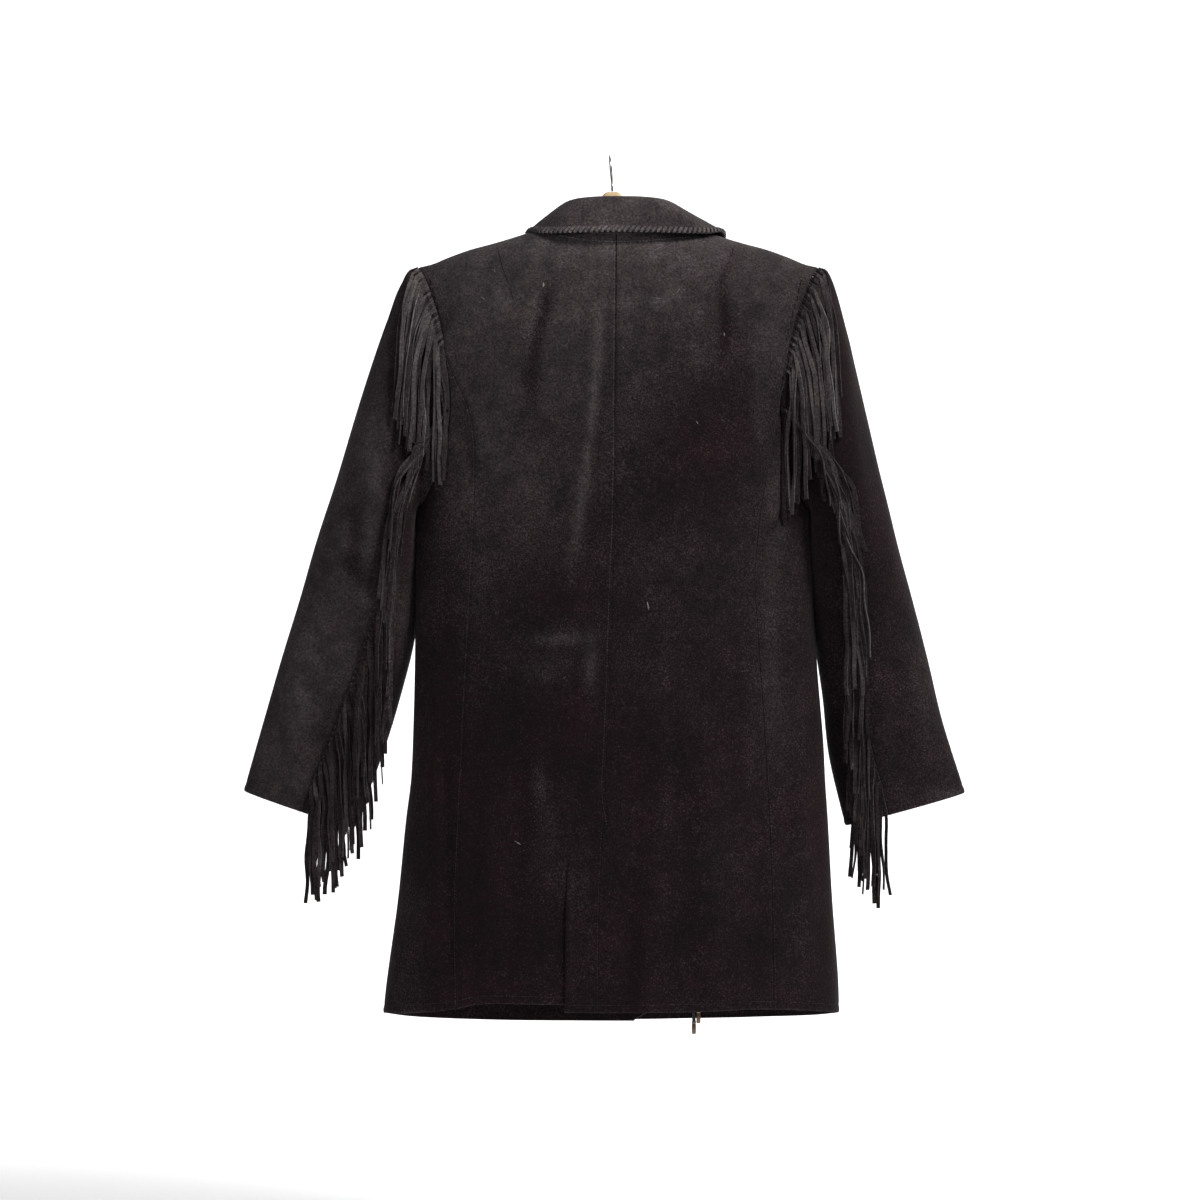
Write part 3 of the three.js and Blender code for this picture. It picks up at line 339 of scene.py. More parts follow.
def body_rise(reach: Numbers, z: Numbers) -> Numbers:
    """Share of its full depth that the body has under the shoulder line.

    Args:
        reach: distance from the centre.
        z: height.

    Returns:
        sqrt(1 - left^2), where left is 1 on the shoulder line and 0 a full rise below it.
    """
    drop = np.maximum(look_up(SHOULDER, 1, np.abs(reach)) - z, 0)
    height = mix(RISE_AT_NECK, RISE_AT_TIP, ease(NECK_REACH, ARMHOLE[0, 1], np.abs(reach)))
    left = np.maximum(1 - drop / height, 0)
    return np.sqrt(1 - left * left)


def body_point(side: Side, turn: Numbers, z: Numbers, lift: Numbers = 0.0) -> np.ndarray:
    """Points on the outside of the body.

    Args:
        side: side of the wearer.
        turn: degrees from the centre back, 90 at the side seam and 180 at the centre front.
        z: heights.
        lift: how far this layer stands over the body.

    Returns:
        x = centre + half sin(turn), y = depth (1 - |sin(turn)|^2.4)^(1/2.4) rise + lift, z.
    """
    turn, z = np.broadcast_arrays(np.asarray(turn, float), np.asarray(z, float))
    angle = np.radians(turn)
    across = np.sin(angle)
    behind = np.cos(angle) >= 0
    half = look_up(BODY, 2, z)
    raised = lift * np.where(behind, np.cos(angle), ease(*FRONT_LIFT_TURNS, turn))
    depth = np.where(behind, look_up(BODY, 3, z), look_up(BODY, 4, z))
    crown = np.maximum(1 - np.abs(across) ** BODY_ROUND, 0) ** (1 / BODY_ROUND)
    y = depth * crown * body_rise(half * across, z) + raised
    x = look_up(BODY, 1, z) + side.value * half * across
    return np.stack([x, np.where(behind, y, -y), z], -1)


def turn_at(side: Side, x: Numbers, z: Numbers, on_front: bool = False) -> Numbers:
    """Turn of a point on the back or the front.

    Args:
        side: side of the wearer.
        x: its place across.
        z: its height.
        on_front: whether it lies on the front.

    Returns:
        Degrees from the centre back.
    """
    ratio = side.value * (x - look_up(BODY, 1, z)) / look_up(BODY, 2, z)
    turn = np.degrees(np.arcsin(np.clip(ratio, -1, 1)))
    return 180 - turn if on_front else turn


def reach_turn(reach: Numbers, z: Numbers) -> Numbers:
    """Turn on the back of a point that far from the centre, at height z."""
    return np.degrees(np.arcsin(np.minimum(reach / look_up(BODY, 2, z), 1)))


def hem_height(side: Side, turn: Numbers) -> Numbers:
    """Height of the hem at a turn."""
    return look_up(HEM, 1 + side.column, np.abs(turn))


def armhole_turn(step: int | np.ndarray, on_front: bool = False) -> Numbers:
    """Turn of the armhole at a row of its table.

    Args:
        step: row of its table.
        on_front: whether it lies on the front.

    Returns:
        Degrees from the centre back.
    """
    row = ARMHOLE[step]
    turn = reach_turn(row[..., 2 if on_front else 1], row[..., 0])
    return 180 - turn if on_front else turn


def seam_turn(side: Side, z: Numbers) -> Numbers:
    """Turn of the curved back seam at height z."""
    return turn_at(side, look_up(BACK_SEAMS, 2 + side.column, z), z)


def centre_turn(side: Side, z: Numbers) -> Numbers:
    """Turn of a back panel's inner edge: the centre seam, or the vent's folded edge.

    Args:
        side: side of the wearer.
        z: height.

    Returns:
        Degrees from the centre back.
    """
    seam = look_up(BACK_SEAMS, 1, z)
    if side is Side.LEFT:
        return turn_at(side, seam - VENT_UNDERLAP * (1 - ease(VENT_TOP, VENT_TOP + VENT_TOP_FADE, z)), z)
    return turn_at(side, seam + VENT_WIDTH * (1 - ease(VENT_FULL, VENT_TOP, z)), z)


def vent_lift(side: Side, z: Numbers) -> Numbers:
    """How far the right back stands over the left back, from the vent up to where it fades.

    Args:
        side: side of the wearer.
        z: height.

    Returns:
        A first step at the vent's top, and the rest lower down.
    """
    if side is Side.LEFT:
        return np.zeros_like(z)
    first = VENT_TOP_LIFT * (1 - ease(VENT_TOP, VENT_TOP + VENT_TOP_FADE, z))
    return first + (VENT_LAP_LIFT - VENT_TOP_LIFT) * (1 - ease(*VENT_LIFTS, z))


def roll_x(side: Side, z: Numbers) -> Numbers:
    """x of a lapel's roll line at height z."""
    neck = look_up(BODY, 1, NECK_END_Z) + side.value * NECK_REACH
    return mix(neck, FRONT_EDGE[side], (z - NECK_END_Z) / (ROLL_BREAK_Z - NECK_END_Z))


def side_levels(side: Side, turn: float, top: float) -> np.ndarray:
    """Heights of a panel's rows at a turn, from the hem to a top, spaced as ROW_LEVELS is."""
    hem = hem_height(side, turn)
    return np.concatenate([[hem], mix(hem, top, (ROW_LEVELS - hem) / (ROW_LEVELS[-1] - hem))])


def pairs(turns: Numbers, heights: Numbers) -> np.ndarray:
    """A list of turns and heights, one pair to a point."""
    return np.stack(np.broadcast_arrays(np.asarray(turns, float), np.asarray(heights, float)), -1)


def fill_edges(bottom: np.ndarray, top: np.ndarray, start: np.ndarray, end: np.ndarray) -> np.ndarray:
    """Grid of turns and heights between four edges.

    Args:
        bottom: its first row.
        top: its last row.
        start: its first column.
        end: its last column.

    Returns:
        Sum of the two ruled surfaces less the one through the corners.
    """
    v = np.linspace(0, 1, len(start))[:, None, None]
    u = np.linspace(0, 1, len(bottom))[None, :, None]
    ruled = mix(start[:, None], end[:, None], u) + mix(bottom[None], top[None], v)
    corners = mix(mix(bottom[0], bottom[-1], u), mix(top[0], top[-1], u), v)
    return ruled - corners


def back_pattern(side: Side) -> np.ndarray:
    """Turns and heights of a back panel, from the hem to the shoulder.

    Args:
        side: side of the wearer.

    Returns:
        Level rows up to the armhole's back seam, then rows filled in to the neck and shoulder.
    """
    share = np.linspace(0, 1, NECK_COLUMNS + SHOULDER_COLUMNS + 1)
    hem_end = seam_turn(side, hem_height(side, CURVED_SEAM_HEM_TURN))
    hem_turns = mix(centre_turn(side, ROW_LEVELS[0]), hem_end, share)
    lower = [pairs(hem_turns, hem_height(side, hem_turns))]
    lower += [pairs(mix(centre_turn(side, z), seam_turn(side, z), share), z) for z in ROW_LEVELS]
    lower = np.array(lower)
    lower[-1, -1, 0] = armhole_turn(SIDE_BACK_STEP)
    steps = np.arange(SIDE_BACK_STEP, -1, -1)
    heights = mix(NECKLINE[0, 1], ROW_LEVELS[-1], (steps / SIDE_BACK_STEP) ** NECK_ROW_SPREAD)
    start = pairs(centre_turn(side, heights), heights)
    end = pairs(armhole_turn(steps), ARMHOLE[steps, 0])
    neck = pairs(reach_turn(NECKLINE[:, 0], NECKLINE[:, 1]), NECKLINE[:, 1])
    neck[0, 0] = centre_turn(side, NECKLINE[0, 1])
    reach = mix(NECK_REACH, ARMHOLE[0, 1], np.linspace(0, 1, SHOULDER_COLUMNS + 1)[1:])
    z = look_up(SHOULDER, 1, reach)
    top = np.concatenate([neck, pairs(reach_turn(reach, z), z)])
    return np.concatenate([lower, fill_edges(lower[-1], top, start, end)[1:]])


def side_pattern(side: Side) -> np.ndarray:
    """Turns and heights of a side panel, from the hem to the armhole.

    Args:
        side: side of the wearer.

    Returns:
        The grid between the curved seam and the side seam.
    """
    steps = np.arange(SIDE_BACK_STEP, len(ARMHOLE))
    hem_end = seam_turn(side, hem_height(side, CURVED_SEAM_HEM_TURN))
    seam = pairs(seam_turn(side, ROW_LEVELS), ROW_LEVELS)
    start = np.concatenate([[[hem_end, hem_height(side, hem_end)]], seam])
    start[-1, 0] = armhole_turn(SIDE_BACK_STEP)
    end = pairs(90.0, side_levels(side, 90.0, ARMHOLE[-1, 0]))
    turns = mix(hem_end, 90.0, np.linspace(0, 1, len(steps)))
    bottom = pairs(turns, hem_height(side, turns))
    top = pairs(armhole_turn(steps), ARMHOLE[steps, 0])
    return fill_edges(bottom, top, start, end)


def front_pattern(side: Side, columns: int = 7) -> np.ndarray:
    """Turns and heights of a front, from the hem to the shoulder and the roll line.

    Args:
        side: side of the wearer.
        columns: how many columns across.

    Returns:
        The grid between the side seam and the front edge, with a cut-away hem corner.
    """
    last = len(ARMHOLE) - 1
    steps = np.arange(last - 1, -1, -1)
    side_seam = pairs(90.0, side_levels(side, 90.0, ARMHOLE[-1, 0]))
    start = np.concatenate([side_seam, pairs(armhole_turn(steps, True), ARMHOLE[steps, 0])])
    edge = FRONT_EDGE[side]
    corner_hem = HEM[CENTRE_FRONT_HEM, 1 + side.column]
    hem_end = turn_at(side, edge + side.value * HEM_CORNER, corner_hem, True)
    heights = side_levels(side, hem_end, ROLL_BREAK_Z)
    end = pairs(turn_at(side, edge, heights, True), heights)
    end[0, 0] = hem_end
    end[1, 1] = corner_hem + HEM_CORNER * CORNER_RISE
    rolled = mix(ROLL_BREAK_Z, NECK_END_Z, 1 - (1 - np.arange(1, last + 1) / last) ** ROLL_ROW_SPREAD)
    end = np.concatenate([end, pairs(turn_at(side, roll_x(side, rolled), rolled, True), rolled)])
    share = np.linspace(0, 1, columns + 1)
    turns = mix(90.0, hem_end, share)
    bottom = pairs(turns, hem_height(side, turns))
    reach = mix(ARMHOLE[0, 2], NECK_REACH, share)
    z = look_up(SHOULDER, 1, reach)
    top = pairs(180 - reach_turn(reach, z), z)
    return fill_edges(bottom, top, start, end)


def lapel_pattern(side: Side, columns: int = 4) -> np.ndarray:
    """Turns and heights of a lapel, from its roll line to its outer edge.

    Args:
        side: side of the wearer.
        columns: how many columns across.

    Returns:
        The grid between the roll line and the outer edge.
    """
    share = np.linspace(0, 1, columns + 1)[None]
    z = mix(LAPEL[:, :1], LAPEL[:, 2:], share)
    centre = look_up(BODY, 1, NECK_END_Z)
    inner = roll_x(side, LAPEL[:, :1]) + side.value * ROLL_GAP
    x = mix(inner, centre + side.value * LAPEL[:, 1:2], share)
    return pairs(turn_at(side, x, z, True), z)


# Folds, wear and colour of the cloth

# The creases' relief sets the tone: ridges lighter as wear of the nap and as painted light, troughs darker as
# painted shade
RUB_AND_SHADE_BY_RELIEF = 0.16  # how much lighter the nap is for each millimetre that it stands out
RUB_AND_SHADE_LIMITS = (0.15, 1.8)
FACED_GAIN = 2.2  # how soon a face's creases and patches reach full strength past the side seam
TONE_LIMITS = (-0.09, 1.2)
EDGE_WEAR = 0.22
EDGE_WEAR_WIDTH = 1.6

# Rise, place and half width of each roll of the cloth along an edge, by how the edge is made
EDGE_ROLLS = {
    Finish.SEAM: ((-0.6, 0.0, 1.4), (0.15, 5.0, 2.6)),
    Finish.HEM: ((-0.7, 0.0, 1.1), (-0.45, 8.6, 1.7), (0.3, 4.4, 2.6)),
    Finish.FOLD: ((-0.8, 0.0, 1.1),),
    Finish.HIDDEN: (),
}


@dataclass(frozen=True)
class Crease:
    """A soft trough or ridge pressed into the cloth along a line."""

    points: tuple  # x and z along it
    width: float  # half its width
    depth: float  # how far it stands out, or sinks where it is negative
    face: Face = Face.BACK

    def field(self, x: np.ndarray, z: np.ndarray) -> np.ndarray:
        """Height of the crease at each point.

        Args:
            x: of each point.
            z: of each point.

        Returns:
            depth exp(-(distance / width)^2), uneven along the line and faded at its ends.
        """
        path = np.array(self.points, float)
        steps = np.linalg.norm(np.diff(path, axis=0), axis=1)
        along = np.concatenate([[0], np.cumsum(steps)]) / steps.sum()
        nearest = np.full(x.shape, 1e9)
        place = np.zeros(x.shape)
        for i, (start, end) in enumerate(zip(path[:-1], path[1:])):
            run = end - start
            t = np.clip(((x - start[0]) * run[0] + (z - start[1]) * run[1]) / (run @ run), 0, 1)
            gap = (x - start[0] - t * run[0]) ** 2 + (z - start[1] - t * run[1]) ** 2
            closer = gap < nearest
            nearest = np.where(closer, gap, nearest)
            place = np.where(closer, mix(along[i], along[i + 1], t), place)
        uneven = 1.15 + 0.3 * np.sin(9 * place + path[0, 0])
        fade = np.sin(np.pi * np.clip(mix(0.04, 0.96, place), 0, 1)) ** 0.7
        return self.depth * uneven * fade * np.exp(-nearest / self.width**2)


@dataclass(frozen=True)
class Wear:
    """A patch of lighter or darker tone: wear of the nap, painted light or painted shade."""

    x: float
    z: float
    width: float  # half its width
    height: float  # half its height
    amount: float  # how much lighter, or darker where it is negative
    face: Face = Face.BACK
    slant: float = 0.0  # x it moves for each unit of z

    def field(self, x: np.ndarray, z: np.ndarray) -> np.ndarray:
        """Change of tone at each point: amount exp(-(dx / width)^2 - (dz / height)^2)."""
        dx = x - self.x - self.slant * (z - self.z)
        return self.amount * np.exp(-((dx / self.width) ** 2) - ((z - self.z) / self.height) ** 2)


def creases(face: Face, *rows: tuple) -> tuple:
    """Creases of one face. Each row is half width and depth, then x and z along it."""
    return tuple(Crease(tuple(zip(row[2::2], row[3::2])), row[0], row[1], face) for row in rows)


def patches(face: Face, *rows: tuple) -> tuple:
    """Patches of one face. Each row is x, z, half width, half height, amount and any slant."""
    return tuple(Wear(*row[:5], face, *row[5:]) for row in rows)


# Creases: half width and depth, then x and z along each
BACK_CREASES = creases(
    Face.BACK,
    (6, -3.4, 60, -140, 69, -156, 76, -182, 80, -207, 84, -239, 88, -272),
    (9, 1.6, 73, -146, 88, -180, 97, -215, 101, -250),
    (6, 2.0, 10, -151, 13, -185, 16, -205, 15, -233, 18, -253, 22, -284, 30, -361, 36, -409),
    (6, -1.6, 2, -155, 6, -205, 7, -253, 13, -300, 22, -361, 29, -409),
    (4, -1.2, -19, -149, -32, -147, -47, -150), (6, 1.1, -32, -160, -47, -164, -66, -158, -74, -150),
    (6, -3.2, -208, -370, -191, -380, -176, -394, -164, -414),
    (7, 2.4, -214, -387, -201, -397, -185, -406, -176, -420),
    (6, -1.6, -181, -261, -177, -298, -171, -335), (11, -2.6, -25, -735, -21, -790, -20, -840, -19, -908),
    (12, 1.6, -40, -760, -38, -840, -36, -911), (7, 1.5, 44, -745, 46, -800, 45, -850, 47, -905),
    (6, -1.3, 36, -740, 37, -800, 35, -850, 37, -908),
    (14, -2.2, 200, -480, 196, -560, 199, -647, 206, -764, 213, -907),
    (11, 3.0, 188, -500, 184, -600, 187, -700, 192, -800, 196, -915),
    (9, -1.4, 140, -520, 140, -647, 146, -764, 150, -902),
    (20, 3.0, -95, -584, -102, -690, -108, -796, -112, -907),
    (16, -1.5, -74, -640, -78, -740, -82, -830, -84, -910),
    (18, -3.2, 93, -600, 98, -690, 104, -780, 110, -905),
    (16, 2.8, 72, -560, 74, -640, 80, -740, 84, -830), (14, 1.5, 29, -520, 34, -584, 45, -647, 50, -722),
    (12, 2.2, -193, -573, -201, -690, -208, -796, -212, -910),
    (10, -1.5, -176, -450, -184, -560, -190, -690, -194, -800),
    (4, -0.8, 120, -103, 115, -123, 108, -142, 102, -161),
    (4.5, -3.0, -133, -99, -124, -125, -114, -149, -123, -183, -120, -202),
    (8, 1.2, -140, -110, -134, -140, -131, -180), (9, 1.0, 128, -112, 124, -150, 118, -190),
    (8, -4.4, 182, -590, 177, -700, 173, -817, 170, -905), (12, 1.4, 150, -255, 132, -300, 120, -350),
    (9, -1.5, 160, -280, 149, -330, 139, -372), (14, -1.2, 60, -300, 52, -360, 58, -430),
    (20, 1.3, -60, -250, -70, -330, -66, -410), (18, -1.3, -110, -210, -120, -290, -118, -370),
    (12, -1.2, 0, -430, 30, -452, 80, -460, 120, -452), (13, -1.3, -20, -455, -70, -470, -130, -462),
    (12, 1.2, 95, -478, 60, -490, 20, -486), (12, 1.1, -60, -500, -100, -508, -150, -498),
)

FRONT_CREASES = creases(
    Face.FRONT,
    (18, 2.6, -150, -560, -158, -680, -168, -800, -176, -930),
    (14, -2.2, -120, -600, -126, -720, -134, -830, -140, -935),
    (16, 1.8, -70, -640, -72, -740, -78, -860, -80, -938),
    (17, 2.4, 120, -540, 130, -660, 142, -780, 150, -925),
    (13, -2.0, 160, -600, 170, -720, 182, -840, 190, -930),
    (15, -1.8, 80, -620, 86, -740, 92, -850, 96, -935), (9, -2.6, 195, -395, 170, -420, 140, -440),
    (8, 1.8, 200, -412, 176, -440, 150, -462), (9, -2.4, -205, -395, -180, -424, -152, -448),
    (9, 1.7, -208, -415, -186, -446, -164, -474), (15, 1.8, 110, -200, 128, -260, 132, -330),
    (14, 1.6, -124, -190, -140, -250, -146, -320), (8, -1.2, -9, -400, 30, -408, 80, -402),
    (9, -1.2, -9, -484, -60, -492, -110, -488), (9, -1.3, -9, -568, 36, -580, 90, -576),
)

SLEEVE_CREASES = {
    Side.LEFT: creases(
        Face.BACK,
        (10, -1.7, 262, -338, 271, -413, 280, -476, 292, -521),
        (10, 2.2, 246, -300, 252, -370, 262, -440), (8, -2.0, 220, -285, 228, -322, 238, -370),
        (8, -2.0, 300, -430, 270, -451, 236, -462), (8, 1.8, 306, -448, 276, -470, 244, -482),
        (14, 1.6, 330, -520, 340, -590, 352, -650), (12, -1.5, 298, -560, 312, -620, 326, -680),
        (11, -1.8, 232, -140, 250, -190, 258, -250),
    ) + creases(
        Face.FRONT,
        (13, -2.4, 250, -240, 284, -340, 300, -410), (9, -2.6, 306, -440, 280, -462, 240, -476),
        (9, 2.0, 312, -462, 284, -486, 250, -498), (13, 1.8, 320, -530, 338, -600, 356, -668),
    ),
    Side.RIGHT: creases(
        Face.BACK,
        (12, -2.2, -262, -250, -278, -330, -290, -400), (10, 1.6, -282, -250, -298, -340, -310, -420),
        (8, -2.0, -300, -430, -270, -446, -240, -462), (8, 1.7, -306, -450, -276, -470, -246, -480),
        (14, 1.7, -324, -500, -338, -580, -350, -650), (12, -1.7, -300, -520, -310, -600, -322, -680),
        (11, 1.6, -242, -150, -252, -200, -256, -260),
    ) + creases(
        Face.FRONT,
        (13, -2.2, -252, -250, -280, -350, -296, -420), (9, -2.4, -304, -436, -276, -458, -244, -470),
        (9, 2.0, -312, -458, -282, -482, -248, -494), (13, 1.7, -322, -540, -340, -610, -352, -668),
    ),
}

# Tone of the nap by height, lighter towards the shoulders: partly wear of the nap and partly painted light
# from above. 0 is the dark of unworn suede, 1 the light of rubbed suede
TONE_BY_HEIGHT = table(
    [-40, 0.7], [-110, 0.52], [-200, 0.41], [-280, 0.235], [-360, 0.17], [-450, 0.11], [-560, 0.06],
    [-700, 0.0], [-820, -0.01], [-945, 0.02],
)
# The right sleeve's tone is painted darker and the left's lighter: painted shade and painted light against
# the key lamp on the wearer's right
SLEEVE_TONES = {
    Side.LEFT: table(
        [-110, 0.45], [-200, 0.36], [-300, 0.4], [-420, 0.38], [-540, 0.37], [-640, 0.31], [-760, 0.34],
    ),
    Side.RIGHT: table(
        [-110, 0.0], [-200, -0.08], [-300, -0.07], [-420, 0.02], [-540, 0.08], [-640, 0.09], [-760, 0.1],
    ),
}
# Fringe tone, lighter towards the top and on the left: partly painted light from above and against the key
# lamp on the wearer's right
FRINGE_TONES = {
    Side.LEFT: table([-110, 1.0], [-200, 0.72], [-300, 0.38], [-400, 0.22], [-600, 0.2], [-800, 0.22]),
    Side.RIGHT: table([-110, 0.55], [-200, 0.46], [-330, 0.4], [-450, 0.26], [-600, 0.17], [-800, 0.17]),
}

# Patches of the body's tone: wear of the nap, and painted light and painted shade in folds, under the fringe,
# under the collar's edge and against the lamps
WEAR_AND_SHADE = patches(
    Face.BACK,
    (-98, -316, 50, 44, -0.1), (17, -402, 30, 30, -0.1), (0, -482, 34, 30, -0.08),
    (108, -625, 50, 60, -0.05), (-172, -520, 14, 150, 0.1), (168, -690, 14, 130, -0.06),
    (-136, -198, 14, 30, -0.06), (-98, -219, 16, 14, 0.1), (-170, -180, 20, 50, 0.12),
    (-40, -640, 40, 60, -0.04), (-70, -560, 40, 30, 0.05), (130, -560, 26, 60, 0.05),
    # (205, -250), (-212, -270), (204, -360) and (196, -330): painted shade under the armhole fringe and by
    # the armpit
    (110, -158, 20, 16, 0.12), (140, -140, 16, 24, 0.1), (205, -250, 18, 110, -0.4),
    (-212, -270, 18, 120, -0.26), (204, -360, 12, 30, -0.3), (130, -800, 90, 240, -0.03),
    # (-244, -700): painted shade on the right side panel, against the key lamp
    (-190, -760, 50, 260, 0.01), (196, -330, 22, 70, -0.16), (-244, -700, 24, 260, -0.16),
    (-95, -573, 40, 60, -0.07), (-142, -262, 9, 60, -0.05), (-160, -250, 8, 60, 0.1),
    # (-5, -92): painted light under the collar's edge, against the collar's cast shadow
    (-5, -92, 80, 6, 0.8), (-80, -62, 22, 14, -0.2), (138, -234, 30, 50, -0.12),
    (96, -194, 24, 24, -0.12), (96, -404, 30, 30, -0.08), (53, -446, 30, 30, -0.1),
    (150, -700, 50, 200, -0.05), (100, -330, 90, 110, 0.13), (-90, -340, 90, 100, -0.07),
    # (-110, -190): painted shade on the upper right of the back, against the key lamp
    (-110, -190, 100, 110, -0.19), (80, -640, 90, 120, -0.03), (90, -460, 60, 50, -0.06),
    (-90, -460, 80, 60, 0.05), (52, -519, 28, 7, 0.34, -0.5), (20, -546, 7, 30, 0.3),
    (77, -671, 9, 28, 0.16), (66, -700, 14, 50, 0.07), (70, -552, 26, 16, 0.16), (88, -420, 50, 38, 0.1),
    (32, -384, 8, 62, 0.26, -0.14), (14, -230, 6, 70, 0.18, -0.08), (110, -250, 40, 60, 0.1),
    (60, -105, 60, 18, 0.16), (-60, -112, 60, 20, 0.14), (-60, -160, 46, 16, 0.16),
    # (-121, -186), (86, -238) and (68, -160): painted shade along a dart and a fold
    (-121, -186, 6, 32, -0.3), (86, -238, 14, 42, -0.32), (68, -160, 8, 24, -0.32),
    (74, -300, 40, 20, -0.14), (54, -480, 26, 16, -0.12), (40, -600, 40, 60, -0.06),
    (-50, -380, 60, 40, -0.06), (-200, -800, 18, 90, 0.09), (-178, -600, 20, 60, 0.12),
    # (-22, -860): painted shade in a crease by the vent
    (-120, -760, 30, 60, 0.08), (60, -760, 34, 40, 0.1), (-22, -860, 12, 60, -0.14),
    # (173, -640) and (181, -700): painted shade in a fold; (217, -790): painted light where the left side
    # turns from the lamps
    (173, -640, 9, 170, -0.12), (217, -790, 20, 240, 0.15), (181, -700, 12, 200, -0.1),
    (141, -470, 12, 34, 0.1), (30, -792, 12, 60, 0.1), (124, -700, 6, 60, 0.08), (-60, -700, 7, 90, 0.08),
    (-150, -640, 8, 110, 0.07), (-92, -600, 20, 34, 0.07), (118, -850, 30, 70, -0.06),
    # (-200, -350): painted light against the shadow of the valley between the right sleeve and the body
    (-196, -392, 14, 16, -0.16), (-176, -385, 10, 60, 0.13), (-200, -350, 12, 40, 0.1),
) + patches(
    Face.FRONT,
    (60, -180, 60, 80, 0.1), (-90, -190, 60, 80, 0.12), (-60, -640, 60, 120, 0.1),
    (130, -700, 50, 120, 0.08),
)

# Patches of each sleeve's tone: wear of the nap, and painted shade under the fringe and by the armpit
SLEEVE_WEAR_AND_SHADE = {
    Side.LEFT: patches(
        Face.BACK,
        # (212, -230), (216, -400) and (240, -560): painted shade under the fringe and by the armpit
        (212, -230, 20, 120, -0.4), (216, -400, 20, 90, -0.4), (240, -560, 16, 60, -0.3),
        (324, -542, 14, 10, 0.14), (240, -190, 26, 60, -0.1), (272, -420, 10, 60, -0.14),
        (330, -560, 30, 100, 0.06), (390, -690, 26, 10, 0.18),
    ) + patches(
        Face.FRONT,
        (330, -600, 40, 80, 0.1),
    ),
    Side.RIGHT: patches(
        Face.BACK,
        # (-224, -250): painted shade under the fringe and by the armpit
        (-224, -250, 18, 130, -0.2), (-300, -420, 20, 80, -0.06), (-372, -690, 26, 8, 0.22),
        (-330, -560, 30, 100, 0.08),
    ) + patches(
        Face.FRONT,
        (-330, -600, 40, 80, 0.1),
    ),
}


def faced(normals: np.ndarray, face: Face) -> np.ndarray:
    """How much the cloth looks the way of a face, from 0 to 1."""
    return np.clip(normals[..., 1] * face.value * FACED_GAIN, 0, 1)


def relief_of(points: np.ndarray, normals: np.ndarray, creases: tuple) -> np.ndarray:
    """How far the creases lift the cloth at each point.

    Args:
        points: rows by columns by 3.
        normals: directions out of the cloth.
        creases: the creases that lie on it.

    Returns:
        Sum of their heights, each where the cloth looks the crease's way.
    """
    height = np.zeros(points.shape[:2])
    for crease in creases:
        height = height + crease.field(points[..., 0], points[..., 2]) * faced(normals, crease.face)
    return height


def tone_of(points: np.ndarray, normals: np.ndarray, tones: np.ndarray, worn: tuple) -> np.ndarray:
    """Tone of the nap at each point.

    Args:
        points: rows by columns by 3.
        normals: directions out of the cloth.
        tones: table of tone by height.
        worn: the patches that lie on it, of wear, painted light and painted shade.

    Returns:
        The tone of each point's height and the sum of the patches there.
    """
    tone = look_up(tones, 1, points[..., 2])
    for patch in worn:
        tone = tone + patch.field(points[..., 0], points[..., 2]) * faced(normals, patch.face)
    return np.clip(tone, *TONE_LIMITS)


# Meshes


@dataclass
class Shape:
    """Vertices and faces of one piece."""

    vertices: np.ndarray  # n by 3, in millimetres
    quads: np.ndarray  # m by 4 vertex numbers, seen from outside in turn
    tone: np.ndarray | None = None  # one value for each vertex
    finish: np.ndarray | None = None  # material number of each face

    def build(self, name: str, sharp_over: float | None = None) -> bpy.types.Object:
        """Puts the piece in the scene.

        Args:
            name: name of the object.
            sharp_over: degrees over which an edge stays sharp, or None for none.

        Returns:
            The new object, at the origin.
        """
        mesh = bpy.data.meshes.new(name)
        mesh.vertices.add(len(self.vertices))
        mesh.vertices.foreach_set("co", (self.vertices * MM).astype(np.float32).ravel())
        mesh.loops.add(self.quads.size)
        mesh.loops.foreach_set("vertex_index", self.quads.astype(np.int32).ravel())
        mesh.polygons.add(len(self.quads))
        mesh.polygons.foreach_set("loop_start", np.arange(0, self.quads.size, 4, dtype=np.int32))
        if self.finish is not None:
            mesh.polygons.foreach_set("material_index", self.finish.astype(np.int32))
        mesh.update(calc_edges=True)
        mesh.validate()
        mesh.polygons.foreach_set("use_smooth", np.ones(len(mesh.polygons), bool))
        if self.tone is not None:
            layer = mesh.attributes.new("tone", "FLOAT", "POINT")
            layer.data.foreach_set("value", self.tone.astype(np.float32).ravel())
        if sharp_over is not None:
            mesh.set_sharp_from_angle(angle=math.radians(sharp_over))
        obj = bpy.data.objects.new(name, mesh)
        bpy.context.scene.collection.objects.link(obj)
        return obj


def grid_shape(points: np.ndarray, normals: np.ndarray, tone: np.ndarray | None = None) -> Shape:
    """One face-out layer over a grid of points.

    Args:
        points: rows by columns by 3.
        normals: directions out of it.
        tone: tone of each point.

    Returns:
        The layer, with its faces turned the way of the normals.
    """
    rows, columns = points.shape[:2]
    index = np.arange(rows * columns).reshape(rows, columns)
    quads = np.stack([index[:-1, :-1], index[:-1, 1:], index[1:, 1:], index[1:, :-1]], -1).reshape(-1, 4)
    i, j = rows // 2, columns // 2
    first = np.cross(points[i, j] - points[i, j - 1], points[i, j] - points[i - 1, j])
    if np.dot(first, normals[i, j]) < 0:
        quads = quads[:, ::-1]
    return Shape(points.reshape(-1, 3), quads, None if tone is None else tone.ravel())


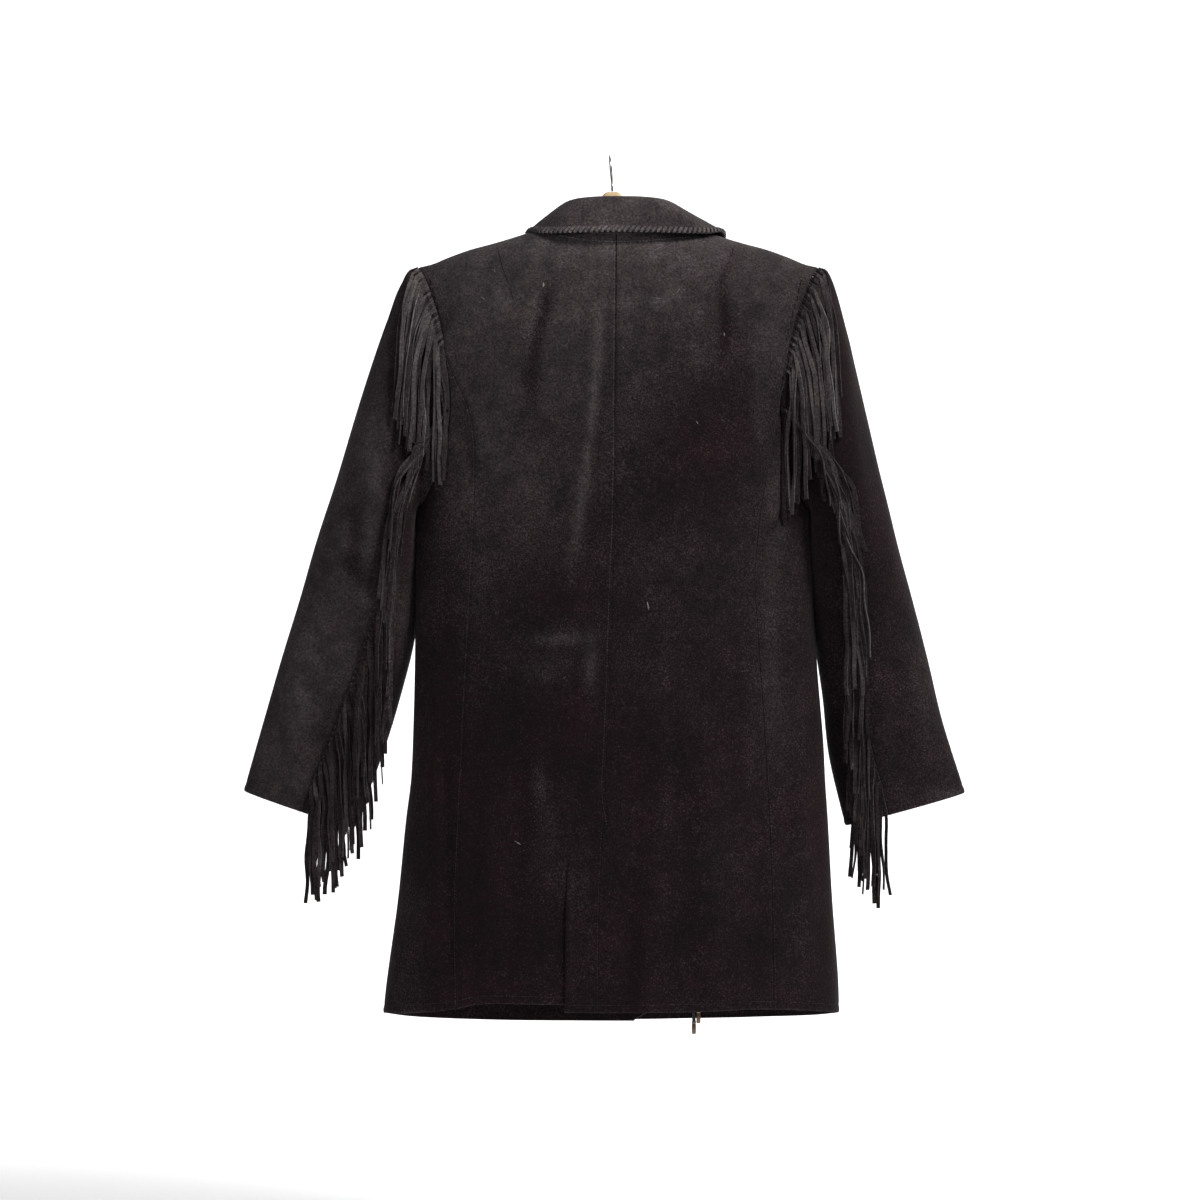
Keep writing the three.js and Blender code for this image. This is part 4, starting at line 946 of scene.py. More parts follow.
def joined(shapes: list) -> Shape:
    """Several shapes as one mesh.

    Args:
        shapes: the shapes.

    Returns:
        Their vertices, faces, tones and finishes in turn.
    """
    offsets = np.cumsum([0] + [len(s.vertices) for s in shapes[:-1]])
    tone = None if shapes[0].tone is None else np.concatenate([s.tone for s in shapes])
    finish = None if shapes[0].finish is None else np.concatenate([s.finish for s in shapes])
    quads = np.concatenate([s.quads + offset for s, offset in zip(shapes, offsets)])
    return Shape(np.concatenate([s.vertices for s in shapes]), quads, tone, finish)


def ribbons(
    paths: np.ndarray, across: np.ndarray, width: Numbers, thick: Numbers, tone: np.ndarray | None = None
) -> Shape:
    """Many flat strips as one mesh.

    Args:
        paths: strips by points by 3, their centre lines.
        across: unit vectors across each strip, of the same shape.
        width: width at each point.
        thick: thickness at each point.
        tone: tone at each point.

    Returns:
        Four corners round every point, centre +- across width / 2 +- up thick / 2, closed at the
        ends. Faces 0 are the flats and faces 1 the cut sides and ends.
    """
    tangent = unit(np.gradient(paths, axis=1))
    across = unit(across - tangent * np.sum(across * tangent, -1, keepdims=True))
    up = np.cross(tangent, across)
    wide = across * (np.broadcast_to(width, paths.shape[:2]) / 2)[..., None]
    high = up * (np.broadcast_to(thick, paths.shape[:2]) / 2)[..., None]
    corners = np.stack([wide + high, -wide + high, -wide - high, wide - high], 2) + paths[:, :, None]
    count, length = paths.shape[:2]
    index = np.arange(count * length * 4).reshape(count, length, 4)
    k = np.arange(4)
    low, high_ring = index[:, :-1], index[:, 1:]
    sides = np.stack([low[..., k], low[..., (k + 1) % 4], high_ring[..., (k + 1) % 4], high_ring[..., k]], -1)
    caps = np.concatenate([index[:, 0, ::-1], index[:, -1]])
    flats = np.tile([0, 1, 0, 1], count * (length - 1))
    quads = np.concatenate([sides.reshape(-1, 4), caps])
    finish = np.concatenate([flats, np.ones(len(caps), int)])
    shade = None if tone is None else np.repeat(np.broadcast_to(tone, paths.shape[:2]).ravel(), 4)
    return Shape(corners.reshape(-1, 3), quads, shade, finish)


def ring_quads(rings: int, sides: int) -> np.ndarray:
    """Faces between closed rings of points.

    Args:
        rings: how many rings, one after another.
        sides: points in each.

    Returns:
        Four vertex numbers for each face.
    """
    index = np.arange(rings * sides).reshape(-1, sides)
    turned = np.roll(index, -1, axis=1)
    quads = np.stack([index[:-1], turned[:-1], turned[1:], index[1:]], -1).reshape(-1, 4)
    return quads[:, ::-1]


def tube(path: np.ndarray, radius: Numbers, sides: int = 12) -> Shape:
    """A round tube along a line, closed at both ends by short cones.

    Args:
        path: points by 3.
        radius: radius at each point.
        sides: corners of its section.

    Returns:
        Rings radius (cos a side + sin a up) round each point.
    """
    tangent = unit(np.gradient(path, axis=0))
    helper = np.array([1.0, 0, 0]) if abs(tangent[:, 0]).max() < 0.9 else np.array([0, 1.0, 0])
    across = unit(np.cross(tangent, helper))
    up = np.cross(tangent, across)
    angle = np.linspace(0, 2 * np.pi, sides, endpoint=False)
    radius = np.broadcast_to(radius, len(path))[:, None, None]
    ring = np.cos(angle)[None, :, None] * across[:, None] + np.sin(angle)[None, :, None] * up[:, None]
    points = path[:, None] + ring * radius
    points = np.concatenate([points[:1] * 0 + path[0], points, points[:1] * 0 + path[-1]])
    return Shape(points.reshape(-1, 3), ring_quads(len(points), sides))


def resampled(points: np.ndarray, extras: list, pitch: float) -> list:
    """A line cut into equal steps.

    Args:
        points: its points.
        extras: arrays with a row for each point, such as its normals.
        pitch: about the length of a step.

    Returns:
        The points and extras at the ends of the steps.
    """
    along = walked(points[None], 1)[0]
    at = np.linspace(0, along[-1], max(int(along[-1] / pitch), 1) + 1)
    return [
        np.stack([np.interp(at, along, values[:, k]) for k in range(values.shape[1])], -1)
        for values in (points, *extras)
    ]


# Materials

# Scale, detail and swing of the nap's noises, and the share of a noise that is stretched to the swing
CLOUDS = (15, 6, 0.36)
PATCHES = (60, 5, 0.2)
BRUSH_MARKS = (400, 3, 0.44)
GRAIN = (680, 2, 0.2)
NOISE_SPAN = (0.32, 0.68)
FIBRE_SCALE = 1500
PORE_SCALE = 290.0
PORE_EDGE = (0.14, 0.34)
PORE_PALE = 0.24
PORE_SINK = -0.6


class Graph:
    """Short words for making nodes and links in a node tree."""

    def __init__(self, tree: bpy.types.NodeTree) -> None:
        """Takes the tree that the nodes go in."""
        self.tree = tree

    def fill(self, node: bpy.types.Node, values: dict) -> None:
        """Sets a node's sockets, or links them.

        Args:
            node: the node.
            values: socket name or number to a value, or to a socket to link from.
        """
        for key, value in values.items():
            if isinstance(value, bpy.types.NodeSocket):
                self.tree.links.new(value, node.inputs[key])
            else:
                node.inputs[key].default_value = value

    def node(self, kind: str, values: dict | None = None, **settings: object) -> bpy.types.Node:
        """Adds a node.

        Args:
            kind: its type without the ShaderNode prefix.
            values: its sockets, as for fill.
            settings: its properties.

        Returns:
            The node.
        """
        made = self.tree.nodes.new(kind if kind.startswith("Node") else f"ShaderNode{kind}")
        for key, value in settings.items():
            setattr(made, key, value)
        self.fill(made, values or {})
        return made

    def math(self, operation: str, *values: float | bpy.types.NodeSocket) -> bpy.types.NodeSocket:
        """Adds a Math node and returns its result."""
        return self.node("Math", dict(enumerate(values)), operation=operation).outputs[0]

    def remap(self, value: bpy.types.NodeSocket, given: tuple, wanted: tuple) -> bpy.types.NodeSocket:
        """Adds a clamped Map Range node and returns its result."""
        names = ("From Min", "From Max", "To Min", "To Max")
        return self.node("MapRange", {"Value": value, **dict(zip(names, given + wanted))}).outputs[0]

    def noise(self, vector: bpy.types.NodeSocket, scale: float, detail: float) -> bpy.types.NodeSocket:
        """Adds a Noise node and returns its value."""
        return self.node("TexNoise", {"Vector": vector, "Scale": scale, "Detail": detail}).outputs[0]

    def spread(self, vector: bpy.types.NodeSocket, look: tuple, middle: float) -> bpy.types.NodeSocket:
        """Adds a noise stretched to a swing about a middle value.

        Args:
            vector: where it is read.
            look: scale, detail and swing of the noise.
            middle: value that it swings about.

        Returns:
            The stretched noise.
        """
        scale, detail, swing = look
        return self.remap(self.noise(vector, scale, detail), NOISE_SPAN, (middle - swing, middle + swing))


def group_of(name: str, inputs: dict, outputs: dict) -> tuple:
    """Makes a node group.

    Args:
        name: its name.
        inputs: socket names to types.
        outputs: socket names to types.

    Returns:
        The group, its graph, its input node and its output node.
    """
    tree = bpy.data.node_groups.new(name, "ShaderNodeTree")
    for direction, sockets in (("INPUT", inputs), ("OUTPUT", outputs)):
        for socket, kind in sockets.items():
            tree.interface.new_socket(socket, in_out=direction, socket_type=f"NodeSocket{kind}")
    graph = Graph(tree)
    return tree, graph, graph.node("NodeGroupInput"), graph.node("NodeGroupOutput")


def nap_group() -> bpy.types.NodeTree:
    """Group for the nap of pigskin suede: clouds, brush marks, fibres and pale pores.

    Returns:
        The group. Shade multiplies the colour, Added goes on the tone and Height is for the bump.
    """
    outputs = {"Shade": "Float", "Added": "Float", "Height": "Float"}
    tree, graph, given, result = group_of("nap_and_pores", {"Vector": "Vector", "Pores": "Float"}, outputs)
    vector = given.outputs["Vector"]
    clouds, patchy, marks = (graph.spread(vector, look, 1) for look in (CLOUDS, PATCHES, BRUSH_MARKS))
    shade = graph.math("MULTIPLY", graph.math("MULTIPLY", clouds, patchy), marks)
    grain = graph.spread(vector, GRAIN, 0)
    fibres = graph.noise(vector, FIBRE_SCALE, 2)
    voronoi = graph.node("TexVoronoi", {"Vector": vector, "Scale": PORE_SCALE, "Randomness": 0.85})
    pore = graph.remap(voronoi.outputs["Distance"], PORE_EDGE, (1, 0))
    shown = graph.remap(graph.noise(vector, 26, 2), (0.34, 0.56), (0.35, 1))
    pores = graph.math("MULTIPLY", graph.math("MULTIPLY", pore, shown), given.outputs["Pores"])
    added = graph.math("ADD", grain, graph.math("MULTIPLY", pores, PORE_PALE))
    height = graph.math("MULTIPLY_ADD", pores, PORE_SINK, graph.math("ADD", fibres, marks))
    graph.fill(result, {"Shade": shade, "Added": added, "Height": height})
    return tree


def new_material(name: str) -> tuple:
    """Starts a material.

    Args:
        name: its name.

    Returns:
        The material, its graph, its shader and the socket of its Object coordinates.
    """
    material = bpy.data.materials.new(name)
    material.use_nodes = True
    graph = Graph(material.node_tree)
    shader = material.node_tree.nodes["Principled BSDF"]
    return material, graph, shader, graph.node("TexCoord").outputs["Object"]


@dataclass(frozen=True)
class Suede:
    """Finish of the suede."""

    name: str
    # Tone 0 gives the dark colour and tone 1 the light one, for wear of the nap and for painted light and
    # painted shade alike
    dark: tuple = (0.0046, 0.0012, 0.0019)  # colour of the unworn nap
    light: tuple = (0.052, 0.0435, 0.0452)  # colour of the rubbed nap
    pores: float = 1.0  # how clearly the pores show
    sheen: float = 0.05

    def make(self, nap: bpy.types.NodeTree) -> bpy.types.Material:
        """Makes the material: dark to light by tone, times shade, with pores and fibres.

        Args:
            nap: the shared group.

        Returns:
            The material.
        """
        material, graph, shader, coords = new_material(self.name)
        group = graph.node("Group", node_tree=nap)
        graph.fill(group, {"Vector": coords, "Pores": self.pores})
        tone = graph.node("Attribute", attribute_name="tone").outputs["Fac"]
        amount = graph.math("MAXIMUM", graph.math("ADD", tone, group.outputs["Added"]), 0.0)
        colour = graph.node("Mix", data_type="RGBA", clamp_factor=False)
        graph.fill(colour, {"Factor": amount, "A": (*self.dark, 1), "B": (*self.light, 1)})
        scaled = {0: colour.outputs["Result"], "Scale": group.outputs["Shade"]}
        shaded = graph.node("VectorMath", scaled, operation="SCALE")
        bump = graph.node("Bump", {"Strength": 0.5, "Distance": 0.0007, "Height": group.outputs["Height"]})
        look = {
            "Base Color": shaded.outputs[0],
            "Normal": bump.outputs[0],
            "Roughness": 0.95,
            "Specular IOR Level": 0.12,
            "Sheen Weight": self.sheen,
            "Sheen Roughness": 0.55,
            "Sheen Tint": (0.6, 0.52, 0.53, 1),
        }
        graph.fill(shader, look)
        return material


@dataclass(frozen=True)
class Plain:
    """Finish of a smooth part."""

    name: str
    colour: tuple
    roughness: float
    metallic: float = 0.0
    streaks: float = 0.1  # how much the colour varies along the grain

    def make(self) -> bpy.types.Material:
        """Makes the material: the colour, with soft streaks along the object's x.

        Returns:
            The material.
        """
        material, graph, shader, coords = new_material(self.name)
        grain = graph.node("Mapping", {"Vector": coords, "Scale": (0.12, 1.0, 1.0)}).outputs[0]
        lines = graph.remap(graph.noise(grain, 420, 4), (0.3, 0.7), (1 - self.streaks, 1 + self.streaks))
        colour = graph.node("VectorMath", {0: self.colour, "Scale": lines}, operation="SCALE").outputs[0]
        look = {"Base Color": colour, "Roughness": self.roughness, "Metallic": self.metallic}
        graph.fill(shader, look)
        return material


class Finishes:
    """All the materials of the jacket."""

    def __init__(self) -> None:
        """Makes the shared node group and the materials."""
        nap = nap_group()
        self.suede = Suede("suede").make(nap)
        self.fringe = Suede("fringe_suede", pores=0.3, sheen=0.08).make(nap)
        cut = Suede("cut_edge", (0.014, 0.011, 0.0115), (0.1, 0.088, 0.09), 0.0, 0.05)
        self.cut_edge = cut.make(nap)
        self.thread = Suede("thread", (0.012, 0.008, 0.009), (0.09, 0.08, 0.082), 0.0).make(nap)
        self.lace = Plain("lace_leather", (0.012, 0.009, 0.009), 0.6).make()
        self.button = Plain("button_plastic", (0.012, 0.009, 0.009), 0.3).make()
        # The button's holes are painted shadow
        self.hole = Plain("shadow", (0.001, 0.001, 0.001), 0.9).make()
        self.wood = Plain("wood", (0.48, 0.34, 0.19), 0.5, streaks=0.25).make()
        self.steel = Plain("steel", (0.42, 0.42, 0.43), 0.3, 1.0, 0.03).make()
        self.tip = Plain("tip_metal", (0.2, 0.14, 0.1), 0.45, 1.0, 0.05).make()


def finish_piece(obj: bpy.types.Object, slot: str, nodes: tuple, *materials: bpy.types.Material) -> None:
    """Gives a piece its materials and body, and hides the CAD nodes that it stands for.

    Args:
        obj: the piece.
        slot: name of a material slot; not used.
        nodes: CAD nodes that it replaces.
        materials: its materials in order.
    """
    for material in materials:
        obj.data.materials.append(material)
    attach(obj, "root")
    if nodes:
        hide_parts(*nodes)
    log.info("%s: %d faces", obj.name, len(obj.data.polygons))


# Pieces of cloth


def finer(coarse: np.ndarray, places: tuple) -> np.ndarray:
    """A grid read between its rows and columns.

    Args:
        coarse: rows by columns by any number of values.
        places: the rows, then the columns, to read at, fractions allowed.

    Returns:
        The cubic through the grid, along the rows and then along the columns.
    """
    return spline(spline(coarse, places[0]).transpose(1, 0, 2), places[1]).transpose(1, 0, 2)


def mesh_places(points: np.ndarray, pitches: tuple) -> tuple:
    """Where the mesh's rows and columns lie on a coarse grid.

    Args:
        points: the coarse grid.
        pitches: distance between rows, and between columns.

    Returns:
        Row and column numbers of the coarse grid, with fractions.
    """
    places = []
    for axis, pitch in enumerate(pitches):
        along = walked(points, axis).mean(axis=1 - axis)
        places.append(np.interp(stations(along[-1], pitch), along, np.arange(len(along))))
    return tuple(places)


@dataclass
class Panel:
    """One cut piece of suede."""

    name: str  # its CAD node
    edges: dict = field(default_factory=dict)  # how each edge is made
    pitch: float = 4.0  # distance between the rows and columns of its mesh
    held: str = "hung"
    rests_on: tuple = ("hanger_bar",)
    creases: tuple = ()
    # patches of tone: wear of the nap, painted light and painted shade
    worn: tuple = ()
    tones: np.ndarray | None = None  # table of its tone by height

    def surface(self) -> tuple:
        """Fine grid of points on the outside, and directions that point out of it."""
        raise NotImplementedError

    def build(self) -> None:
        """Makes the panel: its grid, its creases, its seam valleys and its thickness."""
        points, toward = self.surface()
        normals = grid_normals(points, toward)
        self.flat = self.cut_size(points)
        relief = relief_of(points, normals, self.creases)
        points = points + normals * (relief + self.edge_relief(points))[..., None]
        normals = grid_normals(points, normals)
        self.points, self.normals = points, normals
        tones = TONE_BY_HEIGHT if self.tones is None else self.tones
        # Painted light on the creases' ridges and painted shade in their troughs, with the ridges' wear
        rub_and_shade = np.clip(1 + RUB_AND_SHADE_BY_RELIEF * relief, *RUB_AND_SHADE_LIMITS)
        tone = tone_of(points, normals, tones, self.worn) * rub_and_shade + self.edge_wear(points)
        self.obj = grid_shape(points, normals, tone).build(f"{self.name}_suede")
        thick = self.obj.modifiers.new("thickness", "SOLIDIFY")
        thick.thickness = CLOTH * MM
        thick.offset = -1

    def cut_size(self, points: np.ndarray) -> tuple:
        """Size of the flat cut.

        Args:
            points: the panel's grid, without its creases.

        Returns:
            Its longest row, its longest column and the area of its faces, in metres.
        """
        width = walked(points, 1)[:, -1].max()
        length = walked(points, 0)[-1].max()
        a, b, c, d = points[:-1, :-1], points[:-1, 1:], points[1:, 1:], points[1:, :-1]
        area = np.linalg.norm(np.cross(c - a, d - b), axis=-1).sum() / 2
        return width * MM, length * MM, area * MM * MM

    def gaps(self, points: np.ndarray) -> dict:
        """Distance of every point from each edge.

        Args:
            points: the panel's grid.

        Returns:
            Edges to grids of distances.
        """
        across, along = walked(points, 1), walked(points, 0)
        return {
            Edge.START: across,
            Edge.END: across[:, -1:] - across,
            Edge.BOTTOM: along,
            Edge.TOP: along[-1:] - along,
        }

    def edge_wear(self, points: np.ndarray) -> np.ndarray:
        """How much lighter wear leaves the nap on hems and folded edges.

        Args:
            points: the panel's grid.

        Returns:
            The change of tone at each point.
        """
        worn = np.zeros(points.shape[:2])
        for edge, gap in self.gaps(points).items():
            if self.edges.get(edge, Finish.SEAM) in (Finish.HEM, Finish.FOLD):
                worn += EDGE_WEAR * np.exp(-((gap / EDGE_WEAR_WIDTH) ** 2))
        return worn

    def edge_relief(self, points: np.ndarray) -> np.ndarray:
        """Rise and fall of the cloth along its edges: seams sink, hems are pressed and stitched.

        Args:
            points: the panel's grid.

        Returns:
            Sum of rise exp(-((gap - place) / width)^2) over the rolls of each edge.
        """
        relief = np.zeros(points.shape[:2])
        for edge, gap in self.gaps(points).items():
            for rise, place, width in EDGE_ROLLS[self.edges.get(edge, Finish.SEAM)]:
                relief += rise * np.exp(-(((gap - place) / width) ** 2))
        return relief

    def line(self, edge: Edge, inset: float, start: float = 0.0, stop: float = 1.0) -> tuple:
        """A line over the cloth at a distance from an edge.

        Args:
            edge: the edge it follows.
            inset: its distance from the edge.
            start: share of the edge where it starts.
            stop: share of the edge where it stops.

        Returns:
            Its points and the normals there.
        """
        points, normals = self.points, self.normals
        if edge in (Edge.BOTTOM, Edge.TOP):
            points, normals = points.transpose(1, 0, 2), normals.transpose(1, 0, 2)
        if edge in (Edge.END, Edge.TOP):
            points, normals = points[:, ::-1], normals[:, ::-1]
        gap = walked(points, 1)
        rows = range(int(start * (len(points) - 1)), int(stop * (len(points) - 1)) + 1)
        found = [
            np.array([[np.interp(inset, gap[i], grid[i, :, k]) for k in range(3)] for i in rows])
            for grid in (points, normals)
        ]
        return found[0], unit(found[1])

    def trace(self, route: tuple, pitch: float = 2.0) -> tuple:
        """A line drawn on the cloth, such as a dart's.

        Args:
            route: x and z of its corners.
            pitch: distance between its points.

        Returns:
            Its points and the normals there.
        """
        flat = np.insert(np.array(route, float), 1, 0, axis=1)
        flat = resampled(flat, [], pitch)[0]
        points, normals = self.points.reshape(-1, 3), self.normals.reshape(-1, 3)
        gaps = (points[None, :, 0] - flat[:, None, 0]) ** 2 + (points[None, :, 2] - flat[:, None, 2]) ** 2
        nearest = np.argmin(gaps, axis=1)
        near, up = points[nearest], normals[nearest]
        slope = up[:, 0] * (flat[:, 0] - near[:, 0]) + up[:, 2] * (flat[:, 2] - near[:, 2])
        flat[:, 1] = near[:, 1] - slope / up[:, 1]
        return flat, up

    def dress(self, finishes: Finishes) -> None:
        """Gives the panel its suede."""
        finish_piece(self.obj, "suede", (self.name,), finishes.suede)

    def state(self, with_pieces: tuple = ()) -> None:
        """Does nothing.

        Args:
            with_pieces: the pieces sewn to it; not used.
        """


@dataclass
class BodyPanel(Panel):
    """A panel of the body, cut to a grid of turns and heights."""

    side: Side = Side.LEFT
    pattern: np.ndarray | None = None  # the coarse grid of turns and heights
    lift: float = 0.0  # how far it stands over the body
    vented: bool = False  # whether it is part of the vent's lap
    shoulder: bool = False  # whether its top edge lies on the shoulder line

    def at(self, turns: np.ndarray, heights: np.ndarray) -> np.ndarray:
        """Points at turns and heights, on this panel's layer."""
        lift = vent_lift(self.side, heights) if self.vented else self.lift
        return body_point(self.side, turns, heights, lift)

    def surface(self) -> tuple:
        """Cubic through the coarse grid of turns and heights, read on the body's form.

        Returns:
            The fine grid, and directions away from the body's axis.
        """
        coarse = self.at(self.pattern[..., 0], self.pattern[..., 1])
        fine = finer(self.pattern, mesh_places(coarse, (self.pitch, self.pitch)))
        turns, heights = fine[..., 0], fine[..., 1]
        if self.shoulder:
            heights = self.meet_shoulder(turns, heights)
        points = self.at(turns, heights)
        if self.shoulder:
            points[-1, :, 1] = np.where(self.on_line(turns, heights), 0.0, points[-1, :, 1])
        return points, points * [1, 1, 0] - [look_up(BODY, 1, -300.0), 0, 0]

    def top_reach(self, turns: np.ndarray, heights: np.ndarray) -> np.ndarray:
        """Distance of the top row from the centre."""
        return np.abs(np.sin(np.radians(turns[-1]))) * look_up(BODY, 2, heights[-1])

    def on_line(self, turns: np.ndarray, heights: np.ndarray) -> np.ndarray:
        """Where the top row lies on the shoulder line and not on the neckline."""
        return self.top_reach(turns, heights) >= NECK_REACH - NECK_SLACK

    def meet_shoulder(self, turns: np.ndarray, heights: np.ndarray) -> np.ndarray:
        """Heights eased so that the top row lies exactly on the shoulder line.

        Args:
            turns: the panel's turns.
            heights: the panel's heights.

        Returns:
            heights + error exp(-(top - height) / SHOULDER_EASE).
        """
        error = look_up(SHOULDER, 1, self.top_reach(turns, heights)) - heights[-1]
        error = np.where(self.on_line(turns, heights), error, 0.0)
        return heights + error * np.exp(-(heights[-1] - heights) / SHOULDER_EASE)


class Armhole:
    """The closed line where a sleeve is sewn in."""

    def __init__(self, side: Side) -> None:
        """Walks down the back of the armhole and up the front of it.

        Args:
            side: side of the wearer.
        """
        self.side = side
        steps = np.linspace(0, len(ARMHOLE) - 1, 113)
        self.halves = {}
        for on_front in (False, True):
            rows = spline(pairs(armhole_turn(np.arange(len(ARMHOLE)), on_front), ARMHOLE[:, 0]), steps)
            points = body_point(side, rows[:, 0], rows[:, 1])
            points[0, 1] = 0.0
            along = walked(points[None], 1)[0]
            self.halves[on_front] = (points, 180 * along / along[-1])
        self.steps = steps
        behind, before = self.halves[False], self.halves[True]
        self.points = np.concatenate([behind[0], before[0][-2::-1]])
        self.turns = np.concatenate([behind[1], 360 - before[1][-2::-1]])

    def at(self, turn: np.ndarray) -> np.ndarray:
        """Points of the armhole at turns, 0 at the shoulder tip and 180 at the underarm."""
        wrapped = np.mod(turn, 360)
        return np.stack([np.interp(wrapped, self.turns, self.points[:, k]) for k in range(3)], -1)

    def turn_of(self, step: float, on_front: bool = False) -> float:
        """Turn of a row of the armhole's table."""
        turn = np.interp(step, self.steps, self.halves[on_front][1])
        return 360 - turn if on_front else turn


def rounded(wave: np.ndarray) -> np.ndarray:
    """A sine or cosine bent so that a sleeve's section is a rounded oblong."""
    return np.sign(wave) * np.abs(wave) ** (2 / SLEEVE_ROUND)


@dataclass
class SleeveForm:
    """The rounded form of a sleeve, from the armhole to the cuff."""

    side: Side

    def __post_init__(self) -> None:
        """Makes the armhole that it starts at."""
        self.armhole = Armhole(self.side)

    def at(self, row: Numbers, turn: Numbers) -> np.ndarray:
        """Points on the sleeve.

        Args:
            row: place along it, 0 at the armhole and 10 at the cuff.
            turn: degrees round it, 0 at its outer edge and 180 at its inner edge.

        Returns:
            A rounded section between the outer and inner edges, which turns into the armhole's
            line over the first rows.
        """
        row, turn = np.broadcast_arrays(np.asarray(row, float), np.asarray(turn, float))
        columns = (look_up(SLEEVES[self.side], k, row) for k in range(1, 7))
        outer_x, outer_z, inner_x, inner_z, depth, middle = columns
        angle = np.radians(turn)
        chord = (1 - rounded(np.cos(angle))) / 2
        y = middle + depth * rounded(np.sin(angle))
        form = np.stack([mix(outer_x, inner_x, chord), y, mix(outer_z, inner_z, chord)], -1)
        sewn = self.armhole.at(turn)
        sewn[..., 0] += self.side.value * (CAP_GAP + row * mix(*CAP_STEP_OUT, np.cos(angle / 2) ** 2))
        return mix(form, sewn, (1 - ease(0, CAP_BLEND, row))[..., None])

    def hind_turn(self, row: Numbers) -> np.ndarray:
        """Turn of the hind-arm seam, which leaves the armhole at a row of its table."""
        seam = look_up(HIND_SEAM, 1 + self.side.column, row)
        return mix(self.armhole.turn_of(HIND_STEP), seam, ease(0, CAP_TURN_ROWS, row))

    def fore_turn(self, row: Numbers) -> np.ndarray:
        """Turn of the fore-arm seam."""
        return mix(self.armhole.turn_of(FORE_STEP, True), FORE_SEAM_TURN, ease(0, CAP_TURN_ROWS, row))


@dataclass
class SleevePanel(Panel):
    """The top or the under piece of a sleeve."""

    form: SleeveForm | None = None
    under: bool = False

    def surface(self) -> tuple:
        """Points on the sleeve's form between its two seams.

        Returns:
            The fine grid, and directions away from the sleeve's axis.
        """
        rows = np.linspace(0, 10, 201)
        spine = self.form.at(rows, np.full(rows.shape, 140.0 if self.under else 20.0))
        along = walked(spine[None], 1)[0]
        rows = np.interp(stations(along[-1], self.pitch), along, rows)[:, None]
        hind, fore = self.form.hind_turn(rows), self.form.fore_turn(rows)
        first, last = (hind, fore) if self.under else (fore - 360, hind)
        share, half = np.linspace(0, 1, 91), len(rows) // 2
        width = walked(self.form.at(np.full(91, 5.0), mix(first[half], last[half], share))[None], 1)[0]
        turns = mix(first, last, np.interp(stations(width[-1], self.pitch), width, share)[None])
        points = self.form.at(rows, turns)
        middle = self.form.at(rows, 90.0) / 2 + self.form.at(rows, 270.0) / 2
        return points, points - middle


@dataclass
class Collar(Panel):
    """The collar: up from the neck seam, over the fold and down to its edge."""

    shift: float = -7.0  # how far its outer edge lies to the wearer's right
    bulge: float = 3.5  # how far the fall stands off a straight line from the fold to the edge
    crest: float = 1.5  # how far the fold stands out
    spread: float = 2.0  # how much wider the right end is

    def surface(self) -> tuple:
        """Cubic through seven lines: seam, stand, fold and fall, from one front end to the other.

        Returns:
            The fine grid, and the directions out of it.
        """
        half = len(COLLAR) - 1
        centre = look_up(BODY, 1, NECK_END_Z)
        order = np.arange(-half, half + 1)
        rows = COLLAR[np.abs(order)].copy()
        reach = rows[..., 0] + np.where(order > 0, self.spread, 0.0)[:, None] * [0, 0, 1]
        moved = (np.minimum(np.abs(order) / 3, 1) * self.shift)[:, None] * [0, 0, 1]
        rows[..., 0] = centre + moved - np.sign(order)[:, None] * reach
        rows[..., 1] -= np.where(order > 0, FRONT_LAP * ease(4, 6.5, order), 0.0)[:, None]
        base, fold, edge = rows[:, 0], rows[:, 1], rows[:, 2]
        outward = unit((edge - fold) * [1, 1, 0])
        crest = fold + outward * self.crest
        lines = [
            base,
            mix(base, fold, 0.5) - outward,
            mix(base, fold, 0.88) - outward * 0.5,
            crest,
            mix(crest, edge, 0.16) + outward * self.bulge * 0.9,
            mix(crest, edge, 0.55) + outward * self.bulge,
            edge,
        ]
        coarse = np.stack(lines, 1)
        points = finer(coarse, mesh_places(coarse, (self.pitch, self.pitch * 0.6)))
        count = points.shape[1]
        toward = np.repeat(unit((points[:, -1] - [centre, 0, 0]) * [1, 1, 0])[:, None], count, axis=1)
        normals = grid_normals(points, toward)
        fall = (points.shape[0] // 2, int(count * 0.8))
        if np.dot(normals[fall], toward[fall]) < 0:
            normals = -normals
        return points, normals


# Sewing

# A stitch from end to end: share of its length, height over the cloth, share of the thread's width
STITCH = table([-0.5, -0.35, 0.5], [-0.25, 0.12, 1], [0.25, 0.12, 1], [0.5, -0.35, 0.5])
THREAD_WIDTH = 0.65
FLECK_TAPER = ([0, 0.3, 0.7, 1], [0.3, 1, 0.8, 0.3])

# A loop of the collar's lace: share of the bite, height over the cloth, share of the slant, tone. The tone is
# darker where the lace goes into its hole and under the collar's edge: painted shade
LOOP = table(
    [1.0, -0.7, 0.0, 0.3], [0.62, 0.9, 0.42, 0.8], [0.1, 1.0, 0.95, 1.0], [-0.2, 0.0, 1.1, 1.0],
    [-0.12, -2.0, 1.15, 0.6], [0.2, -3.0, 1.2, 0.3], [0.62, -2.9, 1.25, 0.3], [1.0, -1.6, 1.3, 0.3],
)
LOOP_TONE = 1.5
GATHER_STEP = 9


